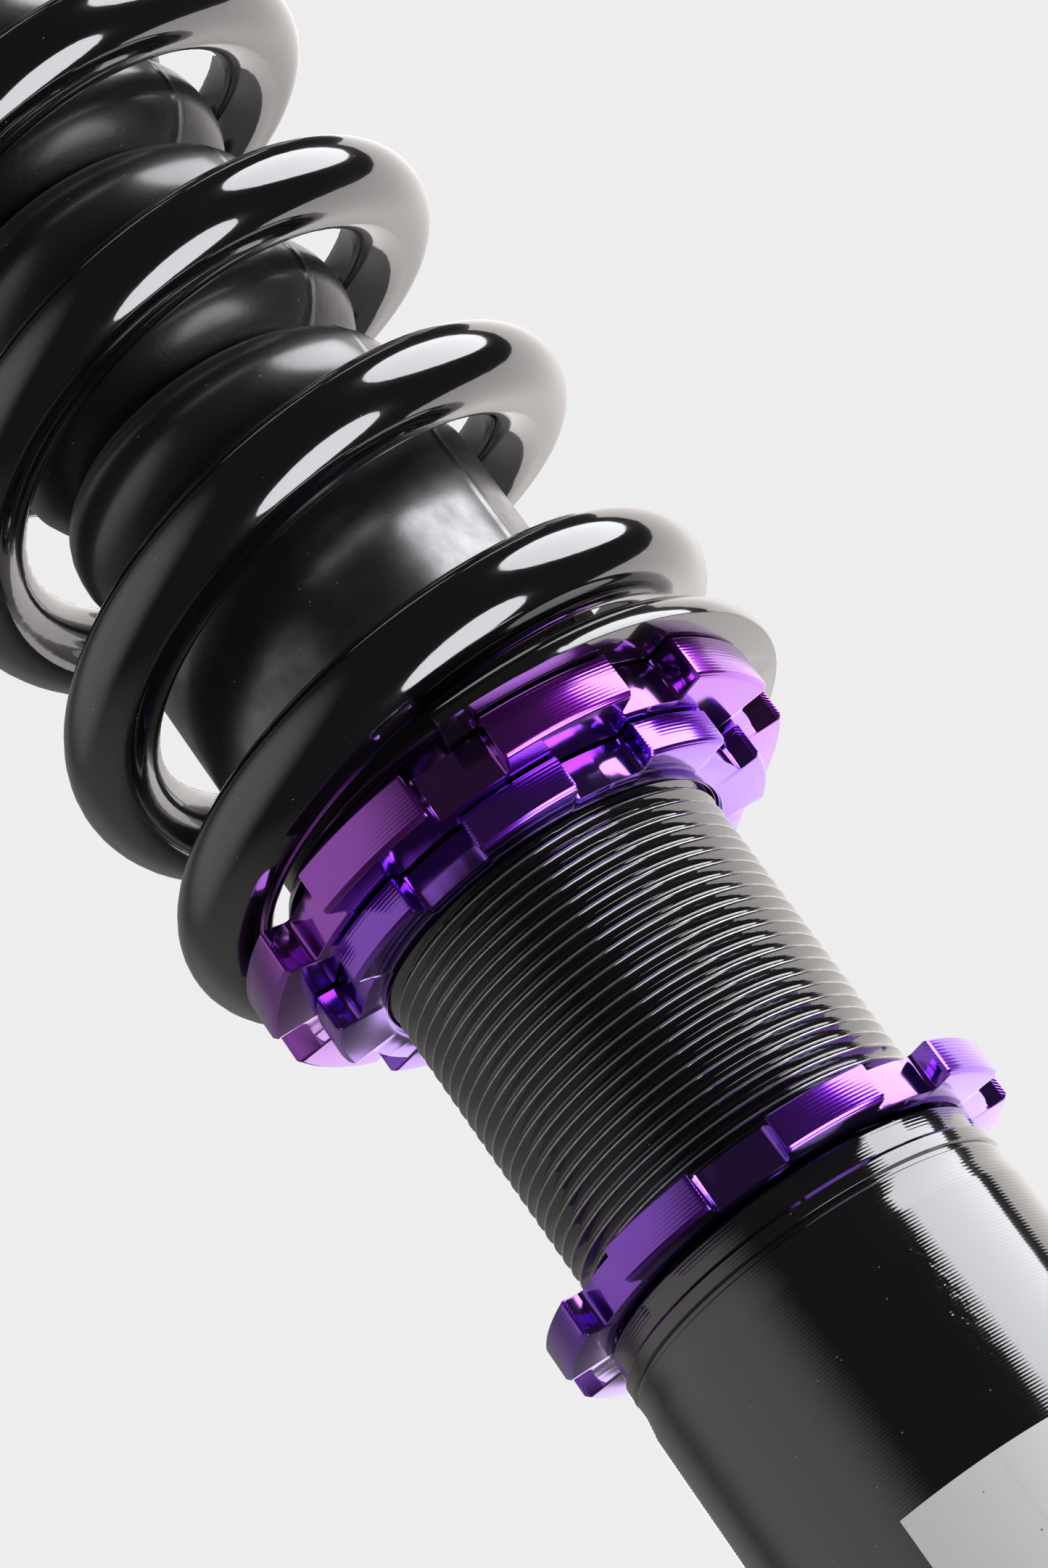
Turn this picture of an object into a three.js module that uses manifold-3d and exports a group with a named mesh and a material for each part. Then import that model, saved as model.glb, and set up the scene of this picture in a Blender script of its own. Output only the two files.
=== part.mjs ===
// Height-adjustable suspension strut (coilover): a threaded gas damper, a right-hand coil spring
// with closed and ground ends, castellated collars, a two-ear knuckle bracket and a pillow-ball
// top mount.  Millimetres, +Z up.  The origin is on the strut's axis, in the top mount's upper face.
import * as THREE from 'three';
import { mergeVertices } from 'three/addons/utils/BufferGeometryUtils.js';
import Module from 'manifold-3d';

const wasm = await Module();
wasm.setup();

// ---------------------------------------------------------------- driving dimensions, mm
const seatGap = 0.3;            // between two pieces that touch
const runGap = 0.3;             // on the radius, between a bore and what turns or slides in it
const roundSteps = 30;          // sides of a large turned piece
const innerSteps = 16;          // sides of a turned piece inside the strut
const smallSteps = 12;          // sides of a small turned piece or hole
const hexSides = 6;
const chamfer = 1;              // on large edges
const fineChamfer = 0.5;        // on small edges
const cutMargin = 1;            // how far a cutter runs past what it cuts

// top mount
const studCount = 3;
const plateThickness = 10;
const studCircle = 46;          // radius of the circle the studs stand on
const lobeRadius = 14;
const housingRadius = 26;
const housingLip = 2.2;
const lipBore = 18;
const raceRadius = 21;
const raceHeight = 13.8;
const ballRadius = 15;
const ballWidth = 20;
const clipThickness = 1.3;
const clipRadialWidth = 3.4;
const clipGrooveDepth = 1.1;
const clipFit = 0.2;            // the circlip is this much smaller than its groove
const clipTopDepth = 0.6;       // from the plate's face down to the circlip
const clipHalfGap = 0.16;       // half of a circlip's opening, radians
const clipLugAngle = 0.26;      // of each lug for the pliers, radians
const clipLugBlend = 0.13;      // from the lug to the ring, radians
const clipLugReach = 1.15;      // of a lug inwards, in widths of its ring
const studRadius = 4;
const studLength = 24;          // above the plate's face
const studHeadRadius = 7;
const studHeadHeight = 4;

// rod top, fasteners and adjuster
const stemRadius = 7;
const washerThickness = 2.5;
const washerRadius = 13;
const nutFlats = 22;
const nutHeight = 12;
const nutChamferSlope = 0.7;
const nutFaceInset = 0.3;       // from a nut's flats in to its round face
const stemAboveNut = 2;
const spigotRadius = 4.2;
const spigotHeight = 7;
const knobRadius = 9.5;
const knobHeight = 13;
const knobFlutes = 12;
const fluteDepth = 1.8;
const knobRim = 3;              // round the knob's recessed top
const knobRecess = 1;
const knobBevel = 0.8;
const needleRadius = 2;
const needleTip = 0.6;
const needleTaper = 8;
const needleLift = 4;           // from the rod's lower end up to the needle's tip
const needleBore = 2.3;

// seat stack below the ball
const sleeveRadius = 12.7;
const sleeveFlangeRadius = 24;
const sleeveFlangeHeight = 4;
const sleeveNeck = 3.7;         // from the ball down to the flange
const bearingWasherHeight = 1;
const bearingInner = 14;
const bearingOuter = 24;
const cageHeight = 1.2;
const needleRollerRadius = 1;
const needleRollers = 16;
const rollerSides = 6;
const cageInset = 0.4;          // of the cage inside the bearing washers' edges
const rollerInset = 1.2;        // of a roller's end inside the cage's edge
const seatRadius = 46;
const seatThickness = 6;
const seatCollarHeight = 8;
const seatCollarWall = 5;
const seatEdge = 2;             // bevel round the seat's upper edge
const guideLead = 1.5;          // taper that leads a spring on to its guide
const guideLeadHeight = 2.5;
const stopWasherRadius = 22.5;
const stopWasherThickness = 2.4;

// coil spring
const springLength = 220;
const springInner = 31;         // inside radius
const wireDiameter = 12.5;
const springTurns = 7.88;
const closedTurns = 1.06;       // turns of each closed end
const closedPitch = 12;
const closedBlend = 0.4;        // half the stretch over which the pitch changes, in turns
const tipDepth = 1.9;           // how far the wire's centre starts below the ground face
const tipAngle = 2.5;           // degrees, from the front towards +X
const wireSides = 7;
const turnSteps = 18;           // of one turn
const gapSteps = 90;            // of one turn, when the gap between coils is measured
const springGuideGap = 0.8;

// castellated collars
const slotCount = 8;
const slotFillet = 0.9;
const collarChamfer = 0.4;
const perchRadius = 39.5;
const perchFloor = 34.9;
const perchHeight = 6.7;
const perchSlotAngle = 17.3;
const perchPhase = 0.6;
const perchHubHeight = 6.3;
const ringRadius = 33.3;
const ringFloor = 29.9;
const ringHeight = 5.4;
const ringSlotAngle = 20;
const upperRingPhase = -14.8;
const lowerRingPhase = 0.7;
const exposedThread = 48.1;     // between the two lock rings

// damper
const bodyRadius = 25;
const bodyWall = 3.5;
const bodyAbovePerch = 47.6;    // from the perch's top face to the body's upper end
const bodyBelowRing = 112;      // inside the bracket
const capThickness = 10;
const capFlange = 4;
const capInset = 0.5;           // of the cap's flange inside the body's outline
const rodRadius = 11;
const strokeLength = 90;
const guideHeight = 18;
const guideBushWall = 1.5;
const sealHeight = 6.7;
const bodyClipHeight = 1.7;
const bodyClipWidth = 2.5;
const bodyClipGroove = 1.1;
const wiperHeight = 5;
const bumperHeight = 21;
const bumperRadius = 15.5;
const pistonStem = 6;
const topOutHeight = 2;
const topOutRadius = 16;
const shimRadius = 15;
const shimHeight = 2.7;
const shimSteps = 3;
const shimDrop = 2.2;           // each shim's radius is this much smaller than the last one's
const pistonHeight = 14;
const pistonPorts = 6;
const portRadius = 2.2;
const portSides = 8;
const portCircle = 13.2;
const bandHeight = 8;
const bandDepth = 1.6;
const pistonNutHeight = 9;
const pistonNutFlats = 19;
const stemBelowNut = 2;
const sealLip = 1;              // thickness of the rod seal's inner lip
const wiperLip = 1.5;
const bumperChamfer = 1.5;
const separatorHeight = 18;
const separatorCup = 8;
const separatorWall = 4;
const ringSection = 1.6;        // radius of the separator's sealing ring
const ringSides = 10;
const separatorDrop = 2.5;      // oil left below the rod's end at full stroke
const valveRadius = 4;
const valvePocket = 5;          // depth of the pocket that the valve sits in
const valveHeight = 4;
const valveFlats = 6.8;
const valveBore = 1.5;

// rubber and foam
const cuffWall = 1.6;
const cuffHeight = 46.8;
const cuffRound = 4;
const cuffLead = 2;             // bevel inside the cuff's shoulder
const bootPeak = 26.3;
const bootNeck = 20.3;
const bootWall = 1.8;
const bootRibs = 8;
const bootFullness = 2.6;       // exponent of a drum's outline, the higher the squarer
const bootSleeveRadius = 21.5;
const bootSleeveHeight = 19.3;
const bootSleeveLead = 1.5;
const stopRadius = 18;
const stopHeight = 58;
const stopGroove = 3;
const stopGrooveHalf = 3;       // half the height of a groove
const stopStep = 1;             // the lower groove is this much deeper
const stopNose = 5;
const stopWaist = 1.5;

// knuckle bracket
const bracketWall = 2.9;
const bracketBandStep = 0.45;   // from the tube's outside down to its upper band
const bracketNeckStep = 1.1;    // and down to its neck
const bracketNeckHeight = 3.6;
const bracketGrooveDrop = 5.9;
const bracketGrooveHeight = 0.9;
const bracketGrooveDepth = 0.5;
const bracketShoulderDrop = 9;
const bracketShoulderRun = 2.2;
const bracketLength = 170;
const bracketFloor = 8;
const bracketFoot = 1.5;        // bevel round the tube's lower end
const earThickness = 6;
const earReach = 66;
const earHeight = 80;
const earRise = 6;              // of the ears above the tube's lower end
const earCorner = 13;
const strapInset = 10;
const earBlend = 30;            // the ears have their full height this far from the axis
const strapSink = 0.4;          // how far the strap is welded into the tube
const boltRadius = 7.25;
const boltReach = 50;
const boltPitch = 52;
const drainRadius = 4;

// ---------------------------------------------------------------- radii worked out from them
const bodyBore = bodyRadius - bodyWall;
const cuffRadius = bodyRadius + runGap + cuffWall;
const bracketRadius = bodyRadius + runGap + bracketWall;
const bracketBand = bracketRadius - bracketBandStep;
const bracketNeck = bracketRadius - bracketNeckStep;

// ---------------------------------------------------------------- heights worked out from them
const raceTop = -(clipTopDepth + clipThickness + seatGap);
const raceBottom = raceTop - raceHeight;
const ballCentre = raceTop - raceHeight / 2;
const lipTop = raceBottom - seatGap;
const housingBottom = lipTop - housingLip;
const ballBottom = ballCentre - ballWidth / 2;
const ballTop = ballCentre + ballWidth / 2;

const sleeveTop = ballBottom - seatGap;
const flangeTop = sleeveTop - sleeveNeck;
const flangeBottom = flangeTop - sleeveFlangeHeight;
const upperWasherTop = flangeBottom - seatGap;
const cageTop = upperWasherTop - bearingWasherHeight - seatGap;
const cageMiddle = cageTop - needleRollerRadius;
const lowerWasherTop = cageTop - 2 * needleRollerRadius - seatGap;
const seatTop = lowerWasherTop - bearingWasherHeight - seatGap;
const seatBottom = seatTop - seatThickness;
const sleeveBottom = seatBottom - seatGap;
const stopWasherTop = sleeveBottom - seatGap;
const stopWasherBottom = stopWasherTop - stopWasherThickness;
const rodShoulder = stopWasherBottom - seatGap;

const springTop = seatBottom - seatGap;
const springBottom = springTop - springLength;
const perchTop = springBottom - seatGap;
const perchBottom = perchTop - perchHeight;
const upperRingTop = perchBottom - seatGap;
const upperRingBottom = upperRingTop - ringHeight;
const lowerRingTop = upperRingBottom - exposedThread;
const lowerRingBottom = lowerRingTop - ringHeight;
const bracketTop = lowerRingBottom - seatGap;
const bracketBottom = bracketTop - bracketLength;

const bodyTop = perchTop + bodyAbovePerch;
const bodyBottom = lowerRingBottom - bodyBelowRing;
const clipTop = bodyTop - wiperHeight / 2 - seatGap;
const clipBottom = clipTop - bodyClipHeight;
const sealTop = clipBottom - seatGap;
const guideTop = sealTop - sealHeight - seatGap;
const guideBottom = guideTop - guideHeight;
const bumperTop = guideBottom - seatGap;
const bumperBottom = bumperTop - bumperHeight;
const rodStep = bumperBottom - seatGap;
const topOutTop = rodStep - seatGap;
const upperShimTop = topOutTop - topOutHeight - seatGap;
const pistonTop = upperShimTop - shimHeight - seatGap;
const pistonBottom = pistonTop - pistonHeight;
const lowerShimTop = pistonBottom - seatGap;
const pistonNutTop = lowerShimTop - shimHeight - seatGap;
const pistonNutBottom = pistonNutTop - pistonNutHeight;
const rodBottom = pistonNutBottom - stemBelowNut;
const gasRatio = (rodRadius / bodyBore) ** 2;
const separatorTravel = strokeLength * gasRatio;
const separatorTop = rodBottom - strokeLength + separatorTravel - separatorDrop;
const separatorBottom = separatorTop - separatorHeight;

const cuffBottom = perchTop + perchHubHeight + 2 * seatGap;
const cuffTop = cuffBottom + cuffHeight;
const bootBottom = cuffTop + seatGap;
const bootTop = stopWasherBottom - seatGap;
const bootRibsTop = bootTop - bootSleeveHeight;
const bootPitch = (bootRibsTop - bootBottom) / bootRibs;

// ---------------------------------------------------------------- colours
const violet = { color: 0x6a1fb0, roughness: 0.25, metalness: 1.0 };
const black = { color: 0x111113, roughness: 0.3, metalness: 0.6 };
const steel = { color: 0xb8b9bb, roughness: 0.3, metalness: 1.0 };
const chrome = { color: 0xd8dadd, roughness: 0.08, metalness: 1.0 };
const bronze = { color: 0x8a6a3a, roughness: 0.45, metalness: 1.0 };
const alloy = { color: 0xa9abae, roughness: 0.4, metalness: 1.0 };
const rubber = { color: 0x17171a, roughness: 0.55, metalness: 0.0 };
const foam = { color: 0xd8c87a, roughness: 0.8, metalness: 0.0 };
const paint = { color: 0x0c0c0e, roughness: 0.12, metalness: 0.1 };

// ---------------------------------------------------------------- helpers
const object = new THREE.Group();

function add(name, geometry, finish, z = 0) {
  const mesh = new THREE.Mesh(geometry, new THREE.MeshStandardMaterial(finish));
  mesh.name = name;
  mesh.position.z = z;
  object.add(mesh);
  return mesh;
}

// Turns a closed outline of [radius, height] points about Z.
function turned(outline, steps = innerSteps) {
  let area = 0;
  outline.forEach(([r, z], i) => {
    const [nextR, nextZ] = outline[(i + 1) % outline.length];
    area += r * nextZ - nextR * z;
  });
  const ordered = area > 0 ? outline : [...outline].reverse();
  const points = ordered.map(([r, z]) => new THREE.Vector2(r, z));
  if (ordered.every(([r]) => r > 0)) {
    points.push(points[0].clone());
  }
  const geometry = new THREE.LatheGeometry(points, steps);
  geometry.rotateX(Math.PI / 2);
  return geometry;
}

// A ring between two radii and two heights, with bevelled outer edges.
function ring(inner, outer, bottom, top, edge = 0) {
  if (edge === 0) {
    return turned([[inner, bottom], [outer, bottom], [outer, top], [inner, top]]);
  }
  return turned([
    [inner, bottom],
    [outer - edge, bottom],
    [outer, bottom + edge],
    [outer, top - edge],
    [outer - edge, top],
    [inner, top],
  ]);
}

function arcPoints(radius, from, to, steps, centreZ = 0, centreR = 0) {
  return Array.from({ length: steps + 1 }, (_, i) => {
    const angle = from + (to - from) * i / steps;
    return [centreR + radius * Math.cos(angle), centreZ + radius * Math.sin(angle)];
  });
}

function solid(geometry) {
  const bare = geometry.clone();
  bare.deleteAttribute('normal');
  bare.deleteAttribute('uv');
  const merged = mergeVertices(bare, 1e-4);
  const index = merged.index.array;
  const kept = [];
  for (let i = 0; i < index.length; i += 3) {
    const [a, b, c] = [index[i], index[i + 1], index[i + 2]];
    if (a !== b && b !== c && c !== a) {
      kept.push(a, b, c);
    }
  }
  return new wasm.Manifold(new wasm.Mesh({
    numProp: 3,
    vertProperties: new Float32Array(merged.attributes.position.array),
    triVerts: new Uint32Array(kept),
  }));
}

function geometryOf(manifold) {
  const mesh = manifold.getMesh();
  const geometry = new THREE.BufferGeometry();
  geometry.setAttribute('position', new THREE.BufferAttribute(mesh.vertProperties.slice(), 3));
  geometry.setIndex(new THREE.BufferAttribute(mesh.triVerts.slice(), 1));
  geometry.computeVertexNormals();
  return geometry;
}

function extruded(shape, height, bevel = 0, curveSegments = 6) {
  return new THREE.ExtrudeGeometry(shape, {
    depth: height - 2 * bevel,
    bevelEnabled: bevel > 0,
    bevelSize: bevel,
    bevelThickness: bevel,
    bevelOffset: -bevel,
    bevelSegments: 1,
    curveSegments,
  }).translate(0, 0, bevel);
}

// ---------------------------------------------------------------- top mount
function studAngle(i) {
  return Math.PI / 2 + i * 2 * Math.PI / studCount;
}

function studPlace(i) {
  return [studCircle * Math.cos(studAngle(i)), studCircle * Math.sin(studAngle(i))];
}

function plateGeometry() {
  const outline = new THREE.Shape();
  const spread = Math.PI / studCount;
  for (let i = 0; i < studCount; i += 1) {
    const [x, y] = studPlace(i);
    outline.absarc(x, y, lobeRadius, studAngle(i) - spread, studAngle(i) + spread, false);
  }
  outline.closePath();
  const plate = solid(extruded(outline, plateThickness, chamfer, 7)
    .translate(0, 0, -plateThickness));
  const housing = solid(turned([
    [0, housingBottom],
    [housingRadius - chamfer, housingBottom],
    [housingRadius, housingBottom + chamfer],
    [housingRadius, -plateThickness / 2],
    [0, -plateThickness / 2],
  ], roundSteps));
  const bore = raceRadius + seatGap;
  const groove = bore + clipGrooveDepth;
  const cavity = solid(turned([
    [0, housingBottom - cutMargin],
    [lipBore, housingBottom - cutMargin],
    [lipBore, lipTop],
    [bore, lipTop],
    [bore, raceTop + seatGap / 2],
    [groove, raceTop + seatGap / 2],
    [groove, -clipTopDepth + seatGap / 2],
    [bore, -clipTopDepth + seatGap / 2],
    [bore, cutMargin],
    [0, cutMargin],
  ]));
  let mount = plate.add(housing).subtract(cavity);
  for (let i = 0; i < studCount; i += 1) {
    const hole = new THREE.CylinderGeometry(studRadius + runGap, studRadius + runGap,
      3 * plateThickness, smallSteps).rotateX(Math.PI / 2);
    hole.translate(...studPlace(i), 0);
    mount = mount.subtract(solid(hole));
  }
  return geometryOf(mount);
}

function studGeometry() {
  const under = -plateThickness - seatGap;
  return turned([
    [0, under - studHeadHeight],
    [studHeadRadius - fineChamfer, under - studHeadHeight],
    [studHeadRadius, under - studHeadHeight + fineChamfer],
    [studHeadRadius, under],
    [studRadius, under],
    [studRadius, studLength - chamfer],
    [studRadius - chamfer, studLength],
    [0, studLength],
  ], smallSteps);
}

function raceGeometry() {
  const half = raceHeight / 2;
  const inner = ballRadius + runGap;
  const reach = Math.asin(half / inner);
  return turned([
    ...arcPoints(inner, reach, -reach, 5),
    [raceRadius - fineChamfer, -half],
    [raceRadius, -half + fineChamfer],
    [raceRadius, half - fineChamfer],
    [raceRadius - fineChamfer, half],
  ]);
}

function ballGeometry() {
  const reach = Math.asin(ballWidth / 2 / ballRadius);
  return turned([
    [stemRadius + runGap, -ballWidth / 2],
    ...arcPoints(ballRadius, -reach, reach, 6),
    [stemRadius + runGap, ballWidth / 2],
  ]);
}

// An open snap ring with two lugs for the pliers.
function snapRingGeometry(outer, width, height) {
  const inner = outer - width;
  const lug = inner - width * clipLugReach;
  const lugEnd = clipHalfGap + clipLugAngle;
  const ringStart = lugEnd + clipLugBlend;
  const shape = new THREE.Shape();
  shape.absarc(0, 0, outer, clipHalfGap, 2 * Math.PI - clipHalfGap, false);
  shape.lineTo(lug * Math.cos(clipHalfGap), -lug * Math.sin(clipHalfGap));
  shape.lineTo(lug * Math.cos(lugEnd), -lug * Math.sin(lugEnd));
  shape.absarc(0, 0, inner, 2 * Math.PI - ringStart, ringStart, true);
  shape.lineTo(lug * Math.cos(lugEnd), lug * Math.sin(lugEnd));
  shape.lineTo(lug * Math.cos(clipHalfGap), lug * Math.sin(clipHalfGap));
  shape.closePath();
  return extruded(shape, height, 0, innerSteps);
}

function topMount() {
  add('top_mount_plate', plateGeometry(), black);
  const stud = studGeometry();
  for (let i = 0; i < studCount; i += 1) {
    const mesh = add(`mount_stud_${i + 1}`, stud, steel);
    [mesh.position.x, mesh.position.y] = studPlace(i);
  }
  add('pillow_ball_race', raceGeometry(), steel, ballCentre);
  const clip = snapRingGeometry(raceRadius + clipGrooveDepth - clipFit, clipRadialWidth, clipThickness);
  add('race_circlip', clip, steel, raceTop + seatGap);
  add('pillow_ball', ballGeometry(), chrome, ballCentre);
}

// ---------------------------------------------------------------- rod, its fasteners and adjuster
function hexShape(flats, hole) {
  const corner = flats / 2 / Math.cos(Math.PI / hexSides);
  const corners = Array.from({ length: hexSides }, (_, i) => new THREE.Vector2(
    corner * Math.cos(i * 2 * Math.PI / hexSides),
    corner * Math.sin(i * 2 * Math.PI / hexSides),
  ));
  const shape = new THREE.Shape(corners);
  const bore = new THREE.Path();
  bore.absarc(0, 0, hole, 0, 2 * Math.PI, true);
  shape.holes.push(bore);
  return shape;
}

function nutGeometry(flats, hole, height) {
  const corner = flats / 2 / Math.cos(Math.PI / hexSides);
  const rise = nutChamferSlope * (corner - flats / 2);
  const rounding = solid(turned([
    [0, 0],
    [flats / 2 - nutFaceInset, 0],
    [corner + nutFaceInset, rise],
    [corner + nutFaceInset, height - rise],
    [flats / 2 - nutFaceInset, height],
    [0, height],
  ], smallSteps));
  const hex = solid(extruded(hexShape(flats, hole), height, 0, smallSteps));
  return geometryOf(hex.intersect(rounding));
}

function knobGeometry() {
  const shape = new THREE.Shape();
  const flute = Math.PI / knobFlutes;
  for (let i = 0; i < knobFlutes; i += 1) {
    const start = i * 2 * flute;
    shape.absarc(0, 0, knobRadius, start, start + flute, false);
    const dip = start + 1.5 * flute;
    const end = start + 2 * flute;
    shape.quadraticCurveTo((knobRadius - fluteDepth) * Math.cos(dip),
      (knobRadius - fluteDepth) * Math.sin(dip), knobRadius * Math.cos(end),
      knobRadius * Math.sin(end));
  }
  shape.closePath();
  const grip = solid(extruded(shape, knobHeight, knobBevel, 2));
  const socketDepth = spigotHeight + seatGap;
  const socket = solid(new THREE.CylinderGeometry(spigotRadius + runGap, spigotRadius + runGap,
    2 * socketDepth, smallSteps).rotateX(Math.PI / 2));
  const recess = solid(new THREE.CylinderGeometry(knobRadius - knobRim, knobRadius - knobRim,
    2 * knobRecess, smallSteps).rotateX(Math.PI / 2).translate(0, 0, knobHeight));
  return geometryOf(grip.subtract(socket).subtract(recess));
}

const nutBottom = ballTop + seatGap + washerThickness + seatGap;
const nutTop = nutBottom + nutHeight;
const stemTop = nutTop + stemAboveNut;
const knobBottom = stemTop + seatGap;
const spigotTop = stemTop + spigotHeight;
const needleTop = knobBottom + spigotHeight;

function rodGeometry() {
  return turned([
    [needleBore, rodBottom],
    [pistonStem - fineChamfer, rodBottom],
    [pistonStem, rodBottom + fineChamfer],
    [pistonStem, rodStep],
    [rodRadius - fineChamfer, rodStep],
    [rodRadius, rodStep + fineChamfer],
    [rodRadius, rodShoulder - fineChamfer],
    [rodRadius - fineChamfer, rodShoulder],
    [stemRadius, rodShoulder],
    [stemRadius, stemTop - chamfer],
    [stemRadius - chamfer, stemTop],
    [spigotRadius, stemTop],
    [spigotRadius, spigotTop],
    [needleBore, spigotTop],
  ]);
}

function adjusterNeedleGeometry() {
  const tip = rodBottom + needleLift;
  return turned([
    [0, tip],
    [needleTip, tip],
    [needleRadius, tip + needleTaper],
    [needleRadius, needleTop - runGap],
    [0, needleTop - runGap],
  ], smallSteps);
}

function sleeveGeometry() {
  return turned([
    [stemRadius + runGap, sleeveBottom],
    [sleeveRadius, sleeveBottom],
    [sleeveRadius, flangeBottom],
    [sleeveFlangeRadius, flangeBottom],
    [sleeveFlangeRadius, flangeTop - chamfer],
    [sleeveFlangeRadius - chamfer, flangeTop],
    [sleeveRadius, flangeTop],
    [sleeveRadius, sleeveTop - fineChamfer],
    [sleeveRadius - fineChamfer, sleeveTop],
    [stemRadius + runGap, sleeveTop],
  ]);
}

function rodTop() {
  add('piston_rod', rodGeometry(), chrome);
  add('bearing_sleeve', sleeveGeometry(), steel);
  const washerBottom = ballTop + seatGap;
  add('rod_washer', ring(stemRadius + runGap, washerRadius, washerBottom,
    washerBottom + washerThickness, fineChamfer), steel);
  add('rod_nut', nutGeometry(nutFlats, stemRadius + runGap, nutHeight), steel, nutBottom);
  add('damping_knob', knobGeometry(), violet, knobBottom);
  add('adjuster_needle', adjusterNeedleGeometry(), steel);
}

// ---------------------------------------------------------------- spring seat and thrust bearing
function cageGeometry() {
  const inner = bearingInner + cageInset;
  const outer = bearingOuter - cageInset;
  let cage = solid(ring(inner, outer, -cageHeight / 2, cageHeight / 2));
  for (let i = 0; i < needleRollers; i += 1) {
    const roller = new THREE.CylinderGeometry(needleRollerRadius, needleRollerRadius,
      outer - inner - 2 * rollerInset, rollerSides);
    roller.rotateZ(Math.PI / 2);
    roller.translate((inner + outer) / 2, 0, 0);
    roller.rotateZ(i * 2 * Math.PI / needleRollers);
    cage = cage.add(solid(roller));
  }
  return geometryOf(cage);
}

function upperSeatGeometry() {
  const guide = springInner - springGuideGap;
  const bore = sleeveRadius + runGap;
  return turned([
    [bore, seatBottom],
    [guide - seatCollarWall, seatBottom],
    [guide - seatCollarWall, seatBottom - seatCollarHeight],
    [guide - guideLead, seatBottom - seatCollarHeight],
    [guide, seatBottom - seatCollarHeight + guideLeadHeight],
    [guide, seatBottom],
    [seatRadius - fineChamfer, seatBottom],
    [seatRadius, seatBottom + fineChamfer],
    [seatRadius, seatTop - seatEdge],
    [seatRadius - seatEdge, seatTop],
    [bore, seatTop],
  ], roundSteps);
}

function seatStack() {
  const inner = bearingInner;
  add('thrust_washer_upper', ring(inner, bearingOuter, upperWasherTop - bearingWasherHeight,
    upperWasherTop), steel);
  add('thrust_needle_cage', cageGeometry(), bronze, cageMiddle);
  add('thrust_washer_lower', ring(inner, bearingOuter, lowerWasherTop - bearingWasherHeight,
    lowerWasherTop), steel);
  add('upper_spring_seat', upperSeatGeometry(), black);
  add('bump_stop_washer', ring(stemRadius + runGap, stopWasherRadius, stopWasherBottom,
    stopWasherTop, fineChamfer), steel);
}

// ---------------------------------------------------------------- coil spring
const springMean = springInner + wireDiameter / 2;
const closedRise = closedPitch * closedTurns - tipDepth;
const springPitch = (springLength - 2 * closedRise) / (springTurns - 2 * closedTurns);

// Height of the wire's centre above the spring's lower ground face, after so many turns.
function wireHeight(turn) {
  if (turn > springTurns / 2) {
    return springLength - wireHeight(springTurns - turn);
  }
  const past = turn - closedTurns;
  const closed = closedPitch * turn - tipDepth;
  const opened = closedRise + springPitch * past;
  if (past <= -closedBlend) {
    return closed;
  }
  if (past >= closedBlend) {
    return opened;
  }
  return closed + (springPitch - closedPitch) * (past + closedBlend) ** 2 / (4 * closedBlend);
}

// The wire's centre line, from its lower tip to its upper one.
class WirePath extends THREE.Curve {
  getPoint(share, target = new THREE.Vector3()) {
    const turn = share * springTurns;
    const angle = THREE.MathUtils.degToRad(tipAngle - 90) + turn * 2 * Math.PI;
    return target.set(springMean * Math.cos(angle), springMean * Math.sin(angle), wireHeight(turn));
  }
}

// One unbroken tube along the wire's path, closed by a flat face at each end.
function wireGeometry() {
  const section = new THREE.Shape(Array.from({ length: wireSides }, (_, i) => new THREE.Vector2(
    wireDiameter / 2 * Math.cos(i * 2 * Math.PI / wireSides),
    wireDiameter / 2 * Math.sin(i * 2 * Math.PI / wireSides),
  )));
  const steps = Math.round(springTurns * turnSteps);
  const path = new WirePath();
  path.arcLengthDivisions = steps * 8;
  return new THREE.ExtrudeGeometry(section, { steps, extrudePath: path, bevelEnabled: false });
}

function leastCoilGap() {
  const count = Math.round(springTurns * gapSteps);
  const path = new WirePath();
  const points = Array.from({ length: count + 1 }, (_, i) => path.getPoint(i / count));
  let least = Infinity;
  for (let i = 0; i <= count; i += 1) {
    for (let j = i + gapSteps / 2; j <= Math.min(count, i + 1.5 * gapSteps); j += 1) {
      least = Math.min(least, points[i].distanceTo(points[j]) - wireDiameter);
    }
  }
  return least;
}

function springGeometry() {
  const outer = springMean + wireDiameter;
  const grindDepth = wireDiameter;
  const below = solid(ring(springInner - wireDiameter, outer, -grindDepth, 0));
  const above = solid(ring(springInner - wireDiameter, outer, springLength,
    springLength + grindDepth));
  return geometryOf(solid(wireGeometry()).subtract(below).subtract(above));
}

function coilSpring() {
  console.log(`least gap between the spring's coils: ${leastCoilGap().toFixed(2)} mm`);
  console.log(`pitch of the open coils: ${springPitch.toFixed(2)} mm`);
  add('main_spring', springGeometry(), paint, springBottom);
}

// ---------------------------------------------------------------- castellated collars
function addArc(path, radius, from, to, steps) {
  for (let i = 0; i <= steps; i += 1) {
    const angle = from + (to - from) * i / steps;
    path.lineTo(radius * Math.cos(angle), radius * Math.sin(angle));
  }
}

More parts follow.
